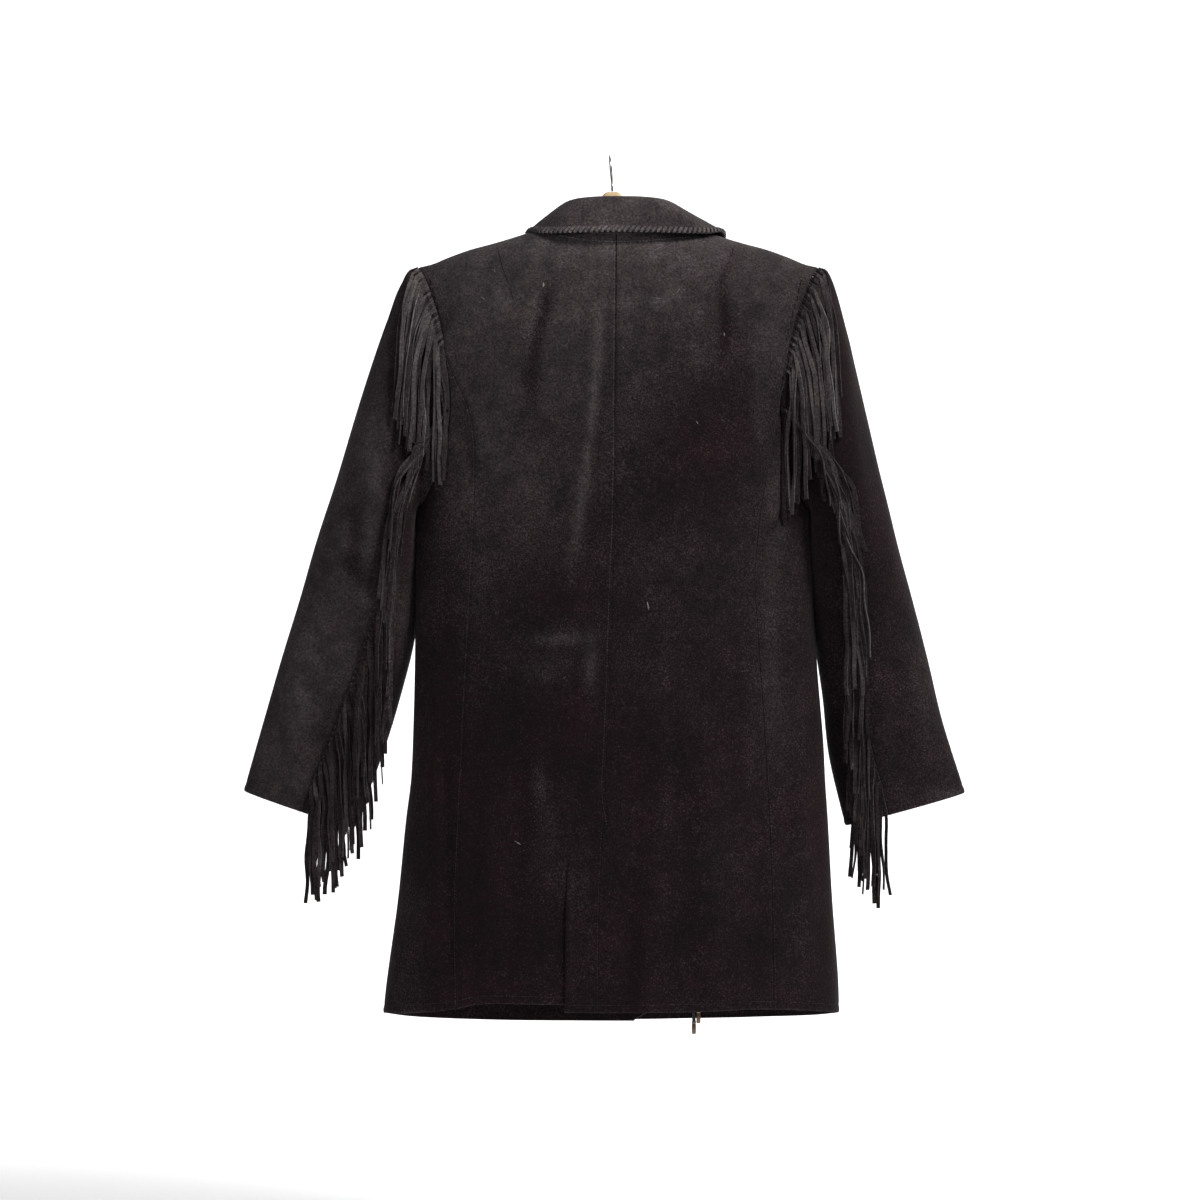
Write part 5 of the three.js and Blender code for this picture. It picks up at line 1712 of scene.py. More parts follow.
class Sewing:
    """Lines of machine stitches and painted shadow lines, gathered as they are sewn and made as two meshes.
    """

    def __init__(self) -> None:
        """Starts with no stitches."""
        self.pieces: list = []
        self.shadows: list = []

    def shade(self, line: tuple, width: float = 0.9, pitch: float = 3.0) -> None:
        """Lays a painted shadow along a dart or a seam: a thin dark strip of tone 0.

        Args:
            line: its points and normals.
            width: of the dark line.
            pitch: distance between its points.
        """
        points, normals = resampled(line[0], [line[1]], pitch)
        up = unit(normals)
        across = np.cross(up, unit(np.gradient(points, axis=0)))
        swell = width * (1 + 0.35 * np.sin(np.arange(len(points)) * 1.7))
        swell[[0, -1]] *= 0.3
        path = points + up * 0.14
        self.shadows.append(ribbons(path[None], across[None], swell, 0.2, np.zeros((1, len(points)))))

    def sew(self, line: tuple, pitch: float = 3.3, length: float = 2.5, pale: float = 0.06) -> None:
        """Sews one line.

        Args:
            line: its points and normals.
            pitch: from stitch to stitch.
            length: of a stitch.
            pale: how much paler the thread is than the nap at its height.
        """
        points, normals = resampled(line[0], [line[1]], pitch)
        along, up = unit(np.gradient(points, axis=0)), unit(normals)
        share, sunk, taper = STITCH.T
        paths = points[:, None] + along[:, None] * (share * length)[None, :, None]
        paths = paths + up[:, None] * sunk[None, :, None]
        across = np.repeat(np.cross(up, along)[:, None], len(share), axis=1)
        tone = look_up(TONE_BY_HEIGHT, 1, paths[..., 2]) + pale
        self.pieces.append(ribbons(paths, across, taper * THREAD_WIDTH, 0.5, tone))

    def build(self, finishes: Finishes) -> None:
        """Joins all the stitches into one piece, and all the painted shadow lines into another.

        Args:
            finishes: the materials.
        """
        shadows = joined(self.shadows).build("seam_shadows")
        finish_piece(shadows, "suede", (), finishes.suede, finishes.suede)
        stitches = joined(self.pieces).build("stitches")
        finish_piece(stitches, "fringe", (), finishes.thread, finishes.thread)


@dataclass(frozen=True)
class Fleck:
    """A pale fleck or scratch on the nap."""

    panel: str  # the panel that it is on
    x: float
    z: float
    length: float
    width: float
    lean: float  # degrees from upright
    tone: float = 1.5

    def strip(self, panel: Panel) -> Shape:
        """A thin strip that lies on the panel there.

        Args:
            panel: the built panel.

        Returns:
            The strip, narrower at its ends.
        """
        lean = math.radians(self.lean)
        run = np.array([math.sin(lean), math.cos(lean)]) * self.length / 2
        start, end = np.array([self.x, self.z]) - run, np.array([self.x, self.z]) + run
        points, up = panel.trace((start, end), self.length / 3.01)
        across = np.cross(up, unit(np.gradient(points, axis=0)))
        taper = self.width * np.interp(np.linspace(0, 1, len(points)), *FLECK_TAPER)
        tone = np.full((1, len(points)), self.tone)
        return ribbons((points + up * 0.3)[None], across[None], taper, 0.2, tone)


FLECKS = tuple(
    Fleck(f"back_{side}", *row)
    for side, rows in (
        ("left", ((71, -143, 5, 2, -8), (135, -157, 6, 0.8, 50), (139, -161, 4, 0.7, 75))),
        ("left", ((123, -127, 5, 0.9, 20), (98, -735, 8, 0.7, 60))),
        ("right", ((-40, -484, 9, 1.6, 12), (-14, -211, 2.2, 1.6, 0, 0.7), (-14, -223, 2.2, 1.6, 0, 0.6))),
        ("right", ((-50, -158, 16, 0.7, 80, 0.8), (-72, -150, 8, 0.8, -35, 0.7))),
        ("right", ((-121, -196, 4, 1.2, 0), (-92, -290, 4, 1, 30))),
    )
    for row in rows
)


# Darts, drawn as painted shadow lines
DARTS = (
    ("back_left", ((65, -149), (73, -172), (79, -200), (85, -238))),
    ("back_left", ((120, -103), (115, -123), (108, -142), (102, -161))),
    ("back_right", ((-133, -99), (-124, -125), (-114, -149), (-118, -166), (-123, -183), (-120, -202))),
)
# Seam beside the vent, drawn as a painted shadow line with stitches beside it
SEAM_BESIDE_VENT = ((7.2, -724), (8.4, -755), (10.8, -805), (11.4, -860), (11.4, -909))

def gathers(first: tuple, count: int, drift: tuple, run: tuple) -> list:
    """Painted shadow strokes of the gathers beside an armhole, one below another.

    Args:
        first: x and z of the first.
        count: how many there are.
        drift: how far each moves across for its number, and for its number squared.
        run: x of a gather, how much x differs from one to the next of three, and z.

    Returns:
        Start and end of each.
    """
    made = []
    for k in range(count):
        x, z = first[0] + drift[0] * k + drift[1] * k * k, first[1] - GATHER_STEP * k
        made.append(((x, z), (x + run[0] + run[1] * (k % 3), z + run[2])))
    return made


GATHERS = (
    ("back_left", gathers((193, -134), 12, (-3.0, 0.13), (-1.2, 0.5, -6.2))),
    ("back_right", gathers((-205, -134), 8, (2.4, 0.0), (1.4, -0.6, -5.8))),
)


@dataclass
class Whipstitch:
    """A flat lace sewn over and over the collar's edge."""

    pitch: float = 5.9  # from loop to loop
    bite: float = 6.0  # from the edge to the holes
    slant: float = 5.6  # how far a loop runs along the edge on its outside
    width: float = 2.6  # of the lace
    thickness: float = 1.1  # of the lace
    first_column: float = 0.58  # share of the collar's ends, from the seam, where the lacing starts
    columns_in: int = 6  # how many columns in from the edge show which way is inward

    def build(self, collar: Collar, finishes: Finishes) -> bpy.types.Object:
        """Makes a loop at each step of the collar's edge, out of a hole, over the edge and back.

        Args:
            collar: the collar, already built.
            finishes: the materials.

        Returns:
            The joined loops.
        """
        deep = self.columns_in
        first = int(collar.points.shape[1] * self.first_column)
        edge, out = self.border(collar.points, first, 0), self.border(collar.normals, first, 0)
        inward = unit(self.border(collar.points, first, deep) - edge)
        edge, out, inward = resampled(edge, [out, inward], self.pitch)
        along, out = unit(np.gradient(edge, axis=0)), unit(out)
        inward = unit(inward - out * np.sum(inward * out, -1, keepdims=True))
        into, high, ahead, tone = LOOP.T
        steps = ((inward, into * self.bite), (out, high), (along, ahead * -self.slant))
        paths = edge[:, None]
        for way, far in steps:
            paths = paths + way[:, None] * far[None, :, None]
        across = np.repeat(along[:, None], len(into), axis=1)
        tone = np.full(paths.shape[:2], LOOP_TONE) * tone
        obj = ribbons(paths, across, self.width, self.thickness, tone).build("collar_whipstitch", 50)
        finish_piece(obj, "fringe", (), finishes.fringe, finishes.cut_edge)
        return obj

    def border(self, grid: np.ndarray, first: int, deep: int) -> np.ndarray:
        """Values round the collar's two ends and its outer edge.

        Args:
            grid: the collar's points or normals.
            first: the column where the ends' lacing starts.
            deep: how many rows or columns in from the edge it reads.

        Returns:
            One row for each point of the border.
        """
        return np.concatenate([grid[deep, first:], grid[1:-1, -1 - deep], grid[-1 - deep, first:][::-1]])


class Relief:
    """How far back the cloth of one side reaches at each x and height, for the fringe to lie on."""

    def __init__(self, panels: list, cell: float = 2.0) -> None:
        """Marks the rearmost point of the panels in each square of a grid.

        Args:
            panels: the built panels.
            cell: side of a square.
        """
        self.cell = cell
        cloud = np.concatenate([self.dense(p.points) for p in panels])
        self.low = cloud[:, [0, 2]].min(axis=0) - 12
        size = ((cloud[:, [0, 2]].max(axis=0) - self.low + 12) / cell).astype(int) + 2
        self.rear = np.full(size, -1e3)
        place = ((cloud[:, [0, 2]] - self.low) / cell).astype(int)
        np.maximum.at(self.rear, (place[:, 0], place[:, 1]), cloud[:, 1])
        for axis in (0, 1):
            wide = np.maximum(np.roll(self.rear, 1, axis), np.roll(self.rear, -1, axis))
            self.rear = np.maximum(self.rear, wide)

    @staticmethod
    def dense(points: np.ndarray) -> np.ndarray:
        """The points of a grid and those between them, as a list.

        Args:
            points: rows by columns by 3.

        Returns:
            Points by 3.
        """
        share = np.linspace(0, 1, 3)[:-1]
        rows = np.concatenate([mix(points[:-1], points[1:], t) for t in share])
        return np.concatenate([mix(rows[:, :-1], rows[:, 1:], t) for t in share], axis=1).reshape(-1, 3)

    def at(self, x: np.ndarray, z: np.ndarray) -> np.ndarray:
        """Rearmost y at each x and z, or -1000 past the cloth.

        Args:
            x: of each point.
            z: of each point.

        Returns:
            One y for each.
        """
        i = np.clip(((x - self.low[0]) / self.cell).astype(int), 0, self.rear.shape[0] - 1)
        k = np.clip(((z - self.low[1]) / self.cell).astype(int), 0, self.rear.shape[1] - 1)
        return self.rear[i, k]


# Shares of a strand's length where its points lie, and the height of the armhole's last strand
STRAND_STEPS = np.concatenate([np.linspace(0, 0.07, 5)[:-1], np.linspace(0.07, 1, 20)])[None]
ARMHOLE_LAST_ROOT = {Side.LEFT: -206.0, Side.RIGHT: -232.0}


@dataclass(frozen=True)
class Hang:
    """How the strands of one kind of fringe hang."""

    lean: dict  # how far they lean outward, by the height where they leave their seam
    stray: float  # how much that differs from strand to strand
    wave: float  # how far neighbours sway together
    wave_step: float  # how soon that sway changes along the seam
    loop: float  # how far out of the seam they bow
    rise: float  # share of a strand over which the bow rises
    fall: tuple  # shares of a strand between which it goes


ARMHOLE_HANG = Hang(
    {
        Side.LEFT: table([-115, 22], [-140, 26], [-170, 22], [-190, 14], [-205, -4]),
        Side.RIGHT: table([-115, 16], [-140, 22], [-170, 24], [-200, 16], [-235, 2]),
    },
    4.6, 3, 0.9, 5.5, 0.04, (0.1, 0.5),
)


SLEEVE_HANG = Hang(
    {
        Side.LEFT: table([-274, 46], [-320, 36], [-370, 24], [-450, 8], [-560, -4], [-640, -4], [-690, 1]),
        Side.RIGHT: table(
            [-274, 50], [-330, 40], [-390, 26], [-450, 10], [-560, -4], [-640, -3], [-690, 1],
        ),
    },
    -6.5, -4, 0.31, 2.4, 0.03, (0.05, 0.3),
)


@dataclass
class Fringe:
    """Strands cut from a strip of suede that is sewn into a seam."""

    name: str  # name of the piece, and of its CAD node
    form: SleeveForm
    relief: Relief
    on_sleeve: bool  # whether it starts at the hind-arm seam instead of the armhole
    pitch: float = 3.6  # from strand to strand along the seam
    width: float = 4.2  # of a strand
    length: float = 156.0  # of a strand
    thickness: float = 1.1  # of a strand
    cuff_length: float = 128.0  # of the strands by the cuff
    last_root: float = -678.0  # height of the last strand's seam by the cuff
    first_share: float = 0.58  # length of the first strands on the sleeve, as a share
    depth: float = 5.0  # how far strands stack up over one another
    layer_step: float = 0.618  # how much higher each strand lies than the last, as a share that wraps round
    seed: int = 1  # choice of the small differences between strands

    def seam(self) -> np.ndarray:
        """Points where the strands come out of the seam.

        Returns:
            Points by 3, from the top down.
        """
        if self.on_sleeve:
            rows = np.linspace(0, 9.93, 400)
            line = self.form.at(rows, self.form.hind_turn(rows))
            line = line[line[:, 2] > self.last_root]
        else:
            last = np.interp(-ARMHOLE_LAST_ROOT[self.form.side], -ARMHOLE[:, 0], np.arange(len(ARMHOLE)))
            line = self.form.armhole.at(np.linspace(1.5, self.form.armhole.turn_of(last), 300))
        return resampled(line, [], self.pitch)[0]

    def across_at(self, roots: np.ndarray, wander: np.ndarray, t: np.ndarray) -> np.ndarray:
        """x of the strands: root + side (bow + lean share), and small bends.

        Args:
            roots: where the strands start.
            wander: four differences for each strand.
            t: shares of the strand's length.

        Returns:
            Strands by points.
        """
        hang = SLEEVE_HANG if self.on_sleeve else ARMHOLE_HANG
        order = np.arange(len(roots))[:, None]
        lean = look_up(hang.lean[self.form.side], 1, roots[:, 2:]) + hang.stray * wander[0]
        lean = lean + hang.wave * np.sin(order * hang.wave_step)
        loop = hang.loop * ease(0, hang.rise, t) * (1 - ease(*hang.fall, t))
        x = roots[:, :1] + self.form.side.value * (loop + lean * mix(t, ease(0.0, 0.45, t), 0.55))
        bends = 1.2 * wander[1] * np.sin(t * 7 + 3 * wander[2]) + 0.6 * wander[3] * np.sin(t * 15 + wander[0])
        return x + bends * ease(0.04, 0.3, t)

    def back_at(self, x: np.ndarray, z: np.ndarray, stand: np.ndarray, root_y: np.ndarray) -> np.ndarray:
        """y of the strands: over the cloth, and never falling in faster than a strand bends.

        Args:
            x: of each point.
            z: of each point.
            stand: how far each point stands over the cloth.
            root_y: y where each strand starts.

        Returns:
            Strands by points, smoothed twice.
        """
        lying = np.maximum(self.relief.at(x, z), self.relief.at(x + 2, z))
        lying = np.maximum(lying, self.relief.at(x - 2, z))
        y = np.empty_like(x)
        y[:, 0] = root_y
        for k in range(1, x.shape[1]):
            fall = 0.12 * (z[:, k - 1] - z[:, k])
            y[:, k] = np.maximum(lying[:, k] + stand[:, k], y[:, k - 1] - fall)
        y += 2.0 * np.exp(-(((STRAND_STEPS - 0.018) / 0.014) ** 2))
        for _ in range(2):
            y[:, 4:-1] = (y[:, 3:-2] + 2 * y[:, 4:-1] + y[:, 5:]) / 4
        return y

    def twists(self, rng: np.random.Generator, count: int, t: np.ndarray) -> np.ndarray:
        """Angle of each strand about its length: most lie flat, some turn edge on.

        Args:
            rng: source of the differences.
            count: number of strands.
            t: shares of the strand's length.

        Returns:
            Strands by points, in radians.
        """
        rest = 0.36 * rng.standard_normal((count, 1)).clip(-1.8, 1.8)
        edge_on = rng.random((count, 1)) < 0.2
        turned = np.where(edge_on, rng.choice([-1.35, 1.35], (count, 1)), rest)
        late = np.where(rng.random((count, 1)) < 0.5, ease(0.05, 0.3, t), ease(0.3, 0.9, t))
        return mix(rest * ease(0.02, 0.2, t), turned, late)

    def build(self, finishes: Finishes) -> bpy.types.Object:
        """Makes the strands: out of the seam in a small loop, then down over the cloth below.

        Args:
            finishes: the materials.

        Returns:
            The joined strands.
        """
        rng = np.random.default_rng(self.seed)
        roots, t = self.seam(), STRAND_STEPS
        count, side = len(roots), self.form.side.value
        lengths = self.length * (1 + 0.07 * rng.standard_normal(count).clip(-1.6, 1.3))
        if self.on_sleeve:
            lengths = lengths * mix(1, self.cuff_length / self.length, ease(0, 70, -605 - roots[:, 2]))
            lengths = lengths * mix(self.first_share, 1, ease(-5, 75, -274 - roots[:, 2]))
        z = roots[:, 2:] - lengths[:, None] * t
        layer = (np.arange(count) * self.layer_step % 1)[:, None]
        wander = rng.standard_normal((4, count, 1)).clip(-1.7, 1.7)
        x = self.across_at(roots, wander, t)
        twist = self.twists(rng, count, t)
        stand = 1.0 + self.depth * layer * ease(0.0, 0.12, t) + self.width / 2 * np.abs(np.sin(twist))
        paths = np.stack([x, self.back_at(x, z, stand, roots[:, 1] - 1.2), z], -1)
        fold = np.pi / 2 * (1 - ease(0.0, 0.06, t)) * np.ones_like(twist)
        across = [side * np.cos(twist) * np.cos(fold), np.sin(twist) * np.cos(fold), np.sin(fold)]
        slender = self.width * (1 + 0.08 * wander[1]) * mix(0.62, 1.0, ease(0.02, 0.12, t))
        tone = look_up(FRINGE_TONES[self.form.side], 1, z)
        tone = tone * np.exp(0.42 * wander[3] + 0.25 * np.sin(t * 9 + 4 * wander[1]))
        at_seam = 0.26 * (1 - ease(0, 0.1, t)) * mix(-0.9, 1, np.arange(count)[:, None] % 2)
        # Strands that lie lower, under others, are painted darker: painted shade between the strands
        tone = np.clip(tone * mix(0.25, 1.3, layer) + at_seam, 0.0, 1.1)
        shape = ribbons(paths, np.stack(across, -1), slender, self.thickness, tone)
        obj = shape.build(f"{self.name}_strands", 50)
        finish_piece(obj, "fringe", (self.name,), finishes.fringe, finishes.cut_edge)
        log.info("%s: %d strands", self.name, count)
        return obj


# Hardware

# Outline of a button: share of its radius, share of its thickness
BUTTON_OUTLINE = table(
    [0, 0], [0.92, 0], [1, 0.2], [1, 0.7], [0.95, 0.94], [0.87, 1], [0.79, 0.9], [0.7, 0.74], [0.5, 0.7],
    [0, 0.68],
)


@dataclass
class Button:
    """A plain button with a rim and four holes."""

    number: int
    z: float
    x: float = -9.0  # its place across
    radius: float = 11.0
    hole: float = 2.2  # from the middle to each hole, across and up
    hole_radius: float = 1.0  # of a hole
    sides: int = 40  # corners of its outline

    def build(self, finishes: Finishes) -> None:
        """Turns the button's outline about its axis, and adds its thread and its holes, which are painted
        shadow: near-black short tubes.

        Args:
            finishes: the materials.
        """
        node = f"button_{self.number}"
        low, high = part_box(node)
        back, face = high[1] / MM, low[1] / MM
        angle = np.linspace(0, 2 * np.pi, self.sides, endpoint=False)
        radius = BUTTON_OUTLINE[:, :1] * self.radius
        depth = np.repeat(mix(back, face, BUTTON_OUTLINE[:, 1])[:, None], self.sides, 1)
        points = np.stack([self.x + radius * np.cos(angle), depth, self.z + radius * np.sin(angle)], -1)
        quads = ring_quads(len(points), self.sides)[:, ::-1]
        parts = [Shape(points.reshape(-1, 3), quads, None, np.zeros(len(quads)))]
        seat = mix(back, face, BUTTON_OUTLINE[-1, 1])
        # Each hole is painted shadow: a near-black short tube flush with the dish
        for dx in (-self.hole, self.hole):
            x = self.x + dx
            for dz in (-self.hole, self.hole):
                ends = [[x, seat + 0.4, self.z + dz], [x, seat - 0.06, self.z + dz]]
                parts.append(tube(np.array(ends), self.hole_radius, 10))
                parts[-1].finish = np.ones(len(parts[-1].quads))
            ups = ((-self.hole, 0.2), (-1, -0.6), (1, -0.6), (self.hole, 0.2))
            parts.append(tube(np.array([[x, seat + out, self.z + up] for up, out in ups]), 0.5, 6))
            parts[-1].finish = np.full(len(parts[-1].quads), 2)
        obj = joined(parts).build(f"{node}_turned", 35)
        finish_piece(obj, "button", (node,), finishes.button, finishes.hole, finishes.thread)


# Wooden bar: reach, top, bottom, half thickness
HANGER = table(
    [0, -37, -84, 11], [9, -39, -84, 11], [24, -58, -86, 11], [48, -71.5, -93, 9], [71, -77, -101, 8.5],
    [110, -88.4, -114, 8], [161, -103, -128, 8], [187, -112.5, -136, 8], [200, -118.2, -140, 7.5],
    [207, -124, -136, 4.5],
)


@dataclass
class HangerBar:
    """The shaped wooden bar under the shoulders."""

    centre: float = -2.5  # x of its middle
    neck_centre: float = -9.0  # x of the middle of its arms
    sides: int = 28  # corners of its section

    def build(self, finishes: Finishes) -> None:
        """Rounded sections from one tip to the other: y = thickness cos(a), z = middle + half sin(a).

        Args:
            finishes: the materials.
        """
        rows = spline(HANGER, np.linspace(0, len(HANGER) - 1, 60))
        rows = np.concatenate([rows[::-1] * [-1, 1, 1, 1], rows[1:]])
        reach = rows[:, 0]
        x = self.centre + reach + (self.neck_centre - self.centre) * ease(20, 71, np.abs(reach))
        angle = np.linspace(0, 2 * np.pi, self.sides, endpoint=False)
        y = rows[:, 3:] * np.cos(angle)
        z = (rows[:, 1:2] + rows[:, 2:3]) / 2 + (rows[:, 1:2] - rows[:, 2:3]) / 2 * np.sin(angle)
        points = np.stack([np.repeat(x[:, None], self.sides, 1), y, z], -1)
        ends = [points[:1].mean(axis=1, keepdims=True), points[-1:].mean(axis=1, keepdims=True)]
        tips = [np.repeat(end + [[[sign * 2.0, 0, 0]]], self.sides, 1) for end, sign in zip(ends, (-1, 1))]
        points = np.concatenate([tips[0], points, tips[1]])
        quads = ring_quads(len(points), self.sides)
        obj = Shape(points.reshape(-1, 3), quads).build("hanger_bar", 50)
        finish_piece(obj, "wood", ("hanger",), finishes.wood)


@dataclass
class Hook:
    """The wire hook: a stem that leans, then most of a ring across the bar."""

    wire: float = 1.4
    radius: float = 15.0
    lean: float = -2.5
    root: float = -36.6
    end: float = 195.0

    def build(self, finishes: Finishes) -> None:
        """Makes the wire and its rounded end.

        Args:
            finishes: the materials.
        """
        angle = np.radians(np.linspace(-90, self.end, 60))
        z = self.wire - self.radius + self.radius * np.sin(angle)
        x = self.lean * (self.wire - z) / (self.wire - self.root)
        ring = np.stack([x, self.radius * np.cos(angle), z], -1)
        stem = mix(np.array([self.lean, 0, self.root]), ring[0], np.linspace(0, 1, 8)[:-1, None])
        path = np.concatenate([stem, ring])
        path = np.concatenate([path, path[-1:] + (path[-1:] - path[-2:-1]) * 0.4])
        radius = np.full(len(path), self.wire)
        radius[-1] = self.wire * 0.6
        obj = tube(path, radius, 14).build("hook_wire", 60)
        finish_piece(obj, "steel", ("hook",), finishes.steel)


@dataclass
class Lace:
    """A thin leather lace with a metal tip, inside the right front."""

    name: str  # name of the CAD node
    tip_name: str  # name of its tip's CAD node
    route: tuple  # points from the stitched end down to the tip
    diameter: float = 4.0
    tip_radius: float = 2.4
    tip_length: float = 14.6
    tip_gap: float = 0.3

    def build(self, finishes: Finishes) -> None:
        """Makes the lace and its tip.

        Args:
            finishes: the materials.
        """
        coarse = np.array(self.route, float)
        path = spline(coarse, np.linspace(0, len(coarse) - 1, 31))
        shape = tube(path, self.diameter / 2, 14)
        lace = shape.build(f"{self.name}_cord", 50)
        finish_piece(lace, "lace", (self.name,), finishes.lace)
        top = path[-1] + np.array([0, 0, -self.tip_gap])
        share = np.array([0, 0.06, 0.2, 0.24, 0.28, 0.9, 1.0])
        radius = np.array([0.86, 1.0, 1.0, 0.86, 1.0, 1.0, 0.8]) * self.tip_radius
        line = top + share[:, None] * np.array([0, 0, -self.tip_length])
        tip = tube(line, radius, 18).build(f"{self.tip_name}_metal", 40)
        finish_piece(tip, "steel", (self.tip_name,), finishes.tip)


LACES = (
    Lace(
        "lace_long", "tip_long",
        (
            (-92.9, -73.3, -846), (-92.9, -73.3, -853), (-92.9, -73.4, -870), (-93, -73.6, -890),
            (-92.8, -73.9, -910), (-92.9, -74.2, -928), (-93, -74.5, -942.4),
        ),
    ),
    Lace(
        "lace_short", "tip_short",
        (
            (-98, -72.4, -846), (-98, -72.4, -853), (-98, -72.4, -868), (-97.9, -72.5, -886),
            (-98.1, -72.7, -904), (-98, -72.8, -918), (-98, -73, -930.4),
        ),
    ),
)


# Lines of stitches on each side: panel, edge, inset, and shares where it starts and stops
SEWN = (
    ("back", Edge.BOTTOM, 8.6),
    ("side", Edge.BOTTOM, 8.6),
    ("side", Edge.START, 2.6),
    ("front", Edge.BOTTOM, 8.6),
    ("front", Edge.END, 6.0, 0.04, 0.66),
    ("lapel", Edge.END, 5.0),
    ("top_sleeve", Edge.TOP, 8.6),
    ("under_sleeve", Edge.TOP, 8.6),
    ("top_sleeve", Edge.END, 2.6, 0.3),
)
NECK_ARC = (
    ("back_left", ((-5, -95.8), (24, -94), (53, -88))),
    ("back_right", ((-9, -95.9), (-40, -94.5), (-84, -89))),
)
BUTTON_HEIGHTS = (-395, -480, -565)

# Light of the room, then the lamps: name, place, size, power and the point each looks at
ROOM_LIGHT = 0.11
JACKET_MIDDLE = (0.0, 0.0, -0.45)
LAMPS = (
    ("key", (-1.8, 1.7, 2.1), 0.8, 150, JACKET_MIDDLE),
    ("fill", (2.0, 2.6, 0.8), 1.8, 20, JACKET_MIDDLE),
    ("front_key", (-1.4, -1.8, 1.7), 1.4, 46, JACKET_MIDDLE),
    ("backdrop", (0.0, -2.6, 2.2), 2.4, 120, (0.0, -4.6, -0.6)),
)


class Jacket:
    """The whole garment on its hanger."""

    def __init__(self, finishes: Finishes) -> None:
        """Takes the materials.

        Args:
            finishes: the materials.
        """
        self.finishes = finishes
        self.sewing = Sewing()
        self.panels: dict = {}

    def build(self) -> None:
        """Makes every piece."""
        for side in Side:
            self.build_body(side)
            self.build_sleeve(side)
        self.build_collar()
        self.sew_lines()
        self.sewing.build(self.finishes)
        self.mark_flecks()
        self.build_fringes()
        for number, z in enumerate(BUTTON_HEIGHTS, 1):
            Button(number, z).build(self.finishes)
        HangerBar().build(self.finishes)
        Hook().build(self.finishes)

    def add(self, panel: Panel) -> Panel:
        """Builds and dresses one panel, and keeps it by its name.

        Args:
            panel: the panel.

        Returns:
            The same panel.
        """
        panel.build()
        panel.dress(self.finishes)
        self.panels[panel.name] = panel
        return panel

    def build_body(self, side: Side) -> None:
        """Makes the body panels of one side: back, side, front and lapel.

        Args:
            side: side of the wearer.
        """
        word = side.word
        lap = FRONT_LAP if side is Side.RIGHT else 0.0
        behind = {"side": side, "vented": True, "creases": BACK_CREASES, "worn": WEAR_AND_SHADE}
        before = {"side": side, "creases": FRONT_CREASES, "worn": WEAR_AND_SHADE}
        hem = {Edge.BOTTOM: Finish.HEM}
        back = BodyPanel(f"back_{word}", hem, pattern=back_pattern(side), shoulder=True, **behind)
        beside = BodyPanel(f"side_{word}", hem, pattern=side_pattern(side), rests_on=(back.name,), **behind)
        edges = hem | {Edge.END: Finish.FOLD}
        cut = {"pattern": front_pattern(side), "lift": lap, "shoulder": True}
        front = BodyPanel(f"front_{word}", edges, **cut, **before)
        folds = {edge: Finish.FOLD for edge in Edge}
        above = {"pattern": lapel_pattern(side), "lift": lap + LAID_ON, "rests_on": (front.name,)}
        lapel = BodyPanel(f"lapel_{word}", folds, pitch=3.5, held="folded", **above, **before)
        for panel in (back, beside, front, lapel):
            self.add(panel)

    def build_sleeve(self, side: Side) -> None:
        """Makes the two pieces of one sleeve.

        Args:
            side: side of the wearer.
        """
        form = SleeveForm(side)
        for under, part in ((False, "top"), (True, "under")):
            name, hem = f"{part}_sleeve_{side.word}", {Edge.TOP: Finish.HEM}
            look = {"creases": SLEEVE_CREASES[side], "worn": SLEEVE_WEAR_AND_SHADE[side], "tones": SLEEVE_TONES[side]}
            hung = (f"back_{side.word}",)
            self.add(SleevePanel(name, hem, rests_on=hung, form=form, under=under, **look))

    def build_collar(self) -> None:
        """Makes the collar and the lace sewn over its edge."""
        edges = {edge: Finish.HIDDEN for edge in Edge}
        backs = ("back_left", "back_right")
        collar = self.add(Collar("collar", edges, held="folded", rests_on=backs, worn=WEAR_AND_SHADE))
        self.whip = Whipstitch().build(collar, self.finishes)

    def sew_lines(self) -> None:
        """Sews the lines that show: seams, hems, front edges and cuffs and the neck arc, and lays painted
        shadow lines along seams, darts and gathers.
        """
        panels, sewing = self.panels, self.sewing
        sewing.sew(panels["back_left"].line(Edge.START, 2.6), pale=0.14)
        for word in ("left", "right"):
            for part, *place in SEWN:
                sewing.sew(panels[f"{part}_{word}"].line(*place))
            sewing.sew(panels[f"back_{word}"].line(Edge.END, 11.5, 0.86, 0.985), 5.0, 2.2)
        for name, route in NECK_ARC:
            sewing.sew(panels[name].trace(route), pale=1.0)
        sewing.shade(panels["back_left"].line(Edge.START, 0.4, 0.22, 1.0), 1.1)
        for word in ("left", "right"):
            sewing.shade(panels[f"side_{word}"].line(Edge.START, 0.4, 0.3, 1.0))
            sewing.shade(panels[f"top_sleeve_{word}"].line(Edge.END, 0.4, 0.1, 1.0))
        for name, route in DARTS:
            sewing.shade(panels[name].trace(route))
        sewing.shade(panels["back_right"].trace(SEAM_BESIDE_VENT), 1.1)
        sewing.sew(panels["back_right"].trace(tuple((x + 2.4, z) for x, z in SEAM_BESIDE_VENT)))
        for name, routes in GATHERS:
            for route in routes:
                sewing.shade(panels[name].trace(route, 1.0), 1.3, 1.2)

    def mark_flecks(self) -> None:
        """Makes the pale flecks and scratches of the back as one piece."""
        flecks = joined([fleck.strip(self.panels[fleck.panel]) for fleck in FLECKS])
        edge = self.finishes.cut_edge
        finish_piece(flecks.build("pale_flecks"), "suede", (), edge, edge)

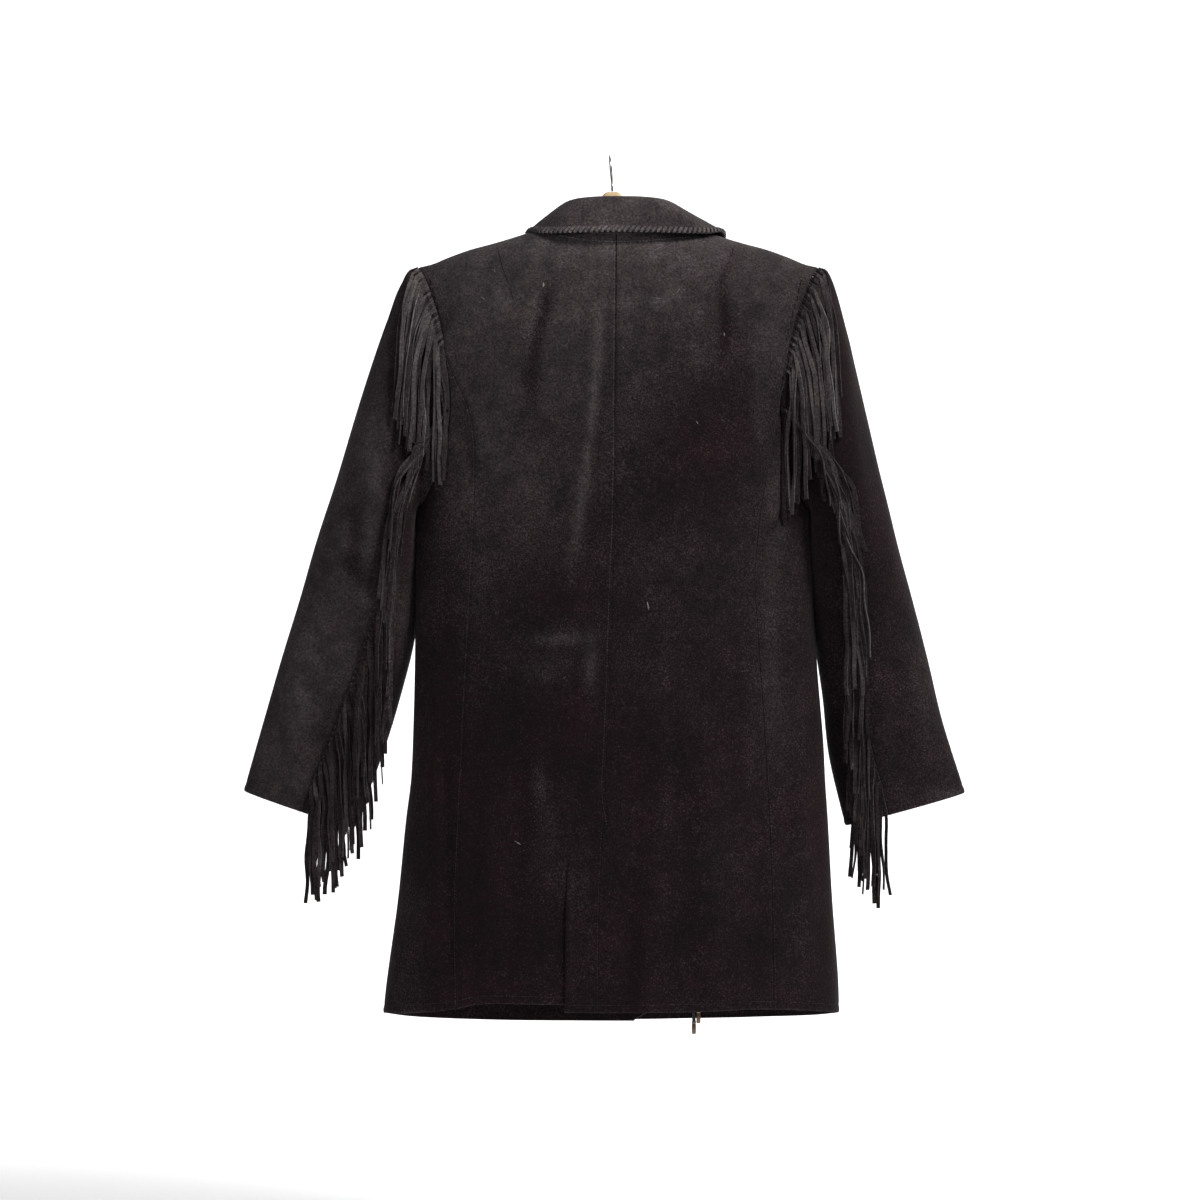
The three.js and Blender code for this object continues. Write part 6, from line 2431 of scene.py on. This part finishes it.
    def build_fringes(self) -> None:
        """Makes the fringes, then passes every panel what is sewn to it."""
        hung = {name: [] for name in self.panels}
        hung["collar"].append(self.whip)
        for side in Side:
            word = side.word
            form = self.panels[f"top_sleeve_{word}"].form
            names = ("back", "side", "top_sleeve", "under_sleeve")
            relief = Relief([self.panels[f"{name}_{word}"] for name in names])
            for part, holder, seed in (("armhole", "back", 5), ("sleeve", "top_sleeve", 11)):
                name = f"{part}_fringe_{word}"
                made = Fringe(name, form, relief, part == "sleeve", seed=seed + side.column)
                hung[f"{holder}_{word}"].append(made.build(self.finishes))
        for name, panel in self.panels.items():
            panel.state(tuple(hung[name]))


@dataclass
class Studio:
    """Camera, pale sweep and soft lights."""

    eye: tuple = (0.0108, 3.2, -0.4778)  # where the camera stands, in metres as all of the studio is
    seen_width: float = 1.296  # width that it sees at the jacket
    floor: float = -1.25
    wall: float = -4.6  # y of the backdrop
    bend: float = 1.6  # radius of the bend between them
    top: float = 3.5
    near: float = 4.5  # y of the floor's near edge
    half: float = 6.0

    def place_camera(self) -> None:
        """Puts the camera level behind the jacket, looking along -Y."""
        data = bpy.data.cameras.new("camera")
        data.sensor_width = 36.0
        data.lens = 36.0 * self.eye[1] / self.seen_width
        camera = bpy.data.objects.new("camera", data)
        camera.location = self.eye
        camera.rotation_euler = (math.radians(90), 0, math.radians(180))
        bpy.context.scene.collection.objects.link(camera)
        bpy.context.scene.camera = camera

    def build_sweep(self) -> None:
        """Makes the floor and backdrop in one sheet, bent through a quarter circle."""
        turn = np.linspace(0, np.pi / 2, 13)[1:]
        middle = (self.wall + self.bend, self.floor + self.bend)
        curve = np.stack([middle[0] - self.bend * np.sin(turn), middle[1] - self.bend * np.cos(turn)], -1)
        ends = [(self.near, self.floor), (middle[0], self.floor)], [(self.wall, self.top)]
        profile = np.concatenate([ends[0], curve, ends[1]])
        points = np.stack([np.insert(profile, 0, x, axis=1) for x in (-self.half, self.half)], 1) / MM
        normals = np.broadcast_to(np.array([0, 1.0, 1.0]), points.shape)
        obj = grid_shape(points, normals).build("sweep")
        material, graph, shader, _ = new_material("paper")
        white = {"Base Color": (0.9, 0.9, 0.9, 1), "Roughness": 0.9}
        graph.fill(shader, white | {"Emission Color": (1, 1, 1, 1), "Emission Strength": 0.08})
        obj.data.materials.append(material)

    def light(self) -> None:
        """Sets the even light of the room and the soft lamps."""
        world = bpy.data.worlds.new("room")
        world.use_nodes = True
        Graph(world.node_tree).fill(
            world.node_tree.nodes["Background"], {"Color": (1, 1, 1, 1), "Strength": ROOM_LIGHT}
        )
        bpy.context.scene.world = world
        for name, place, size, power, aim in LAMPS:
            self.lamp(name, place, size, power, aim)

    def lamp(self, name: str, place: tuple, size: float, power: float, aim: tuple) -> None:
        """Adds one square lamp.

        Args:
            name: its name.
            place: where it stands.
            size: side of the square.
            power: watts.
            aim: the point it looks at.
        """
        data = bpy.data.lights.new(name, "AREA")
        data.size = size
        data.energy = power
        lamp = bpy.data.objects.new(name, data)
        lamp.location = place
        way = np.array(aim) - np.array(place)
        level = math.hypot(way[0], way[1])
        lamp.rotation_euler = (math.atan2(level, -way[2]), 0, math.atan2(way[1], way[0]) - math.pi / 2)
        bpy.context.scene.collection.objects.link(lamp)


def main() -> None:
    """Builds the jacket and its studio."""
    logging.basicConfig(level=logging.INFO, format="%(message)s")
    studio = Studio()
    studio.place_camera()
    finishes = Finishes()
    for lace in LACES:
        lace.build(finishes)
    Jacket(finishes).build()
    studio.build_sweep()
    studio.light()
    bpy.context.scene.view_settings.view_transform = "Standard"


if __name__ == "__main__":
    main()
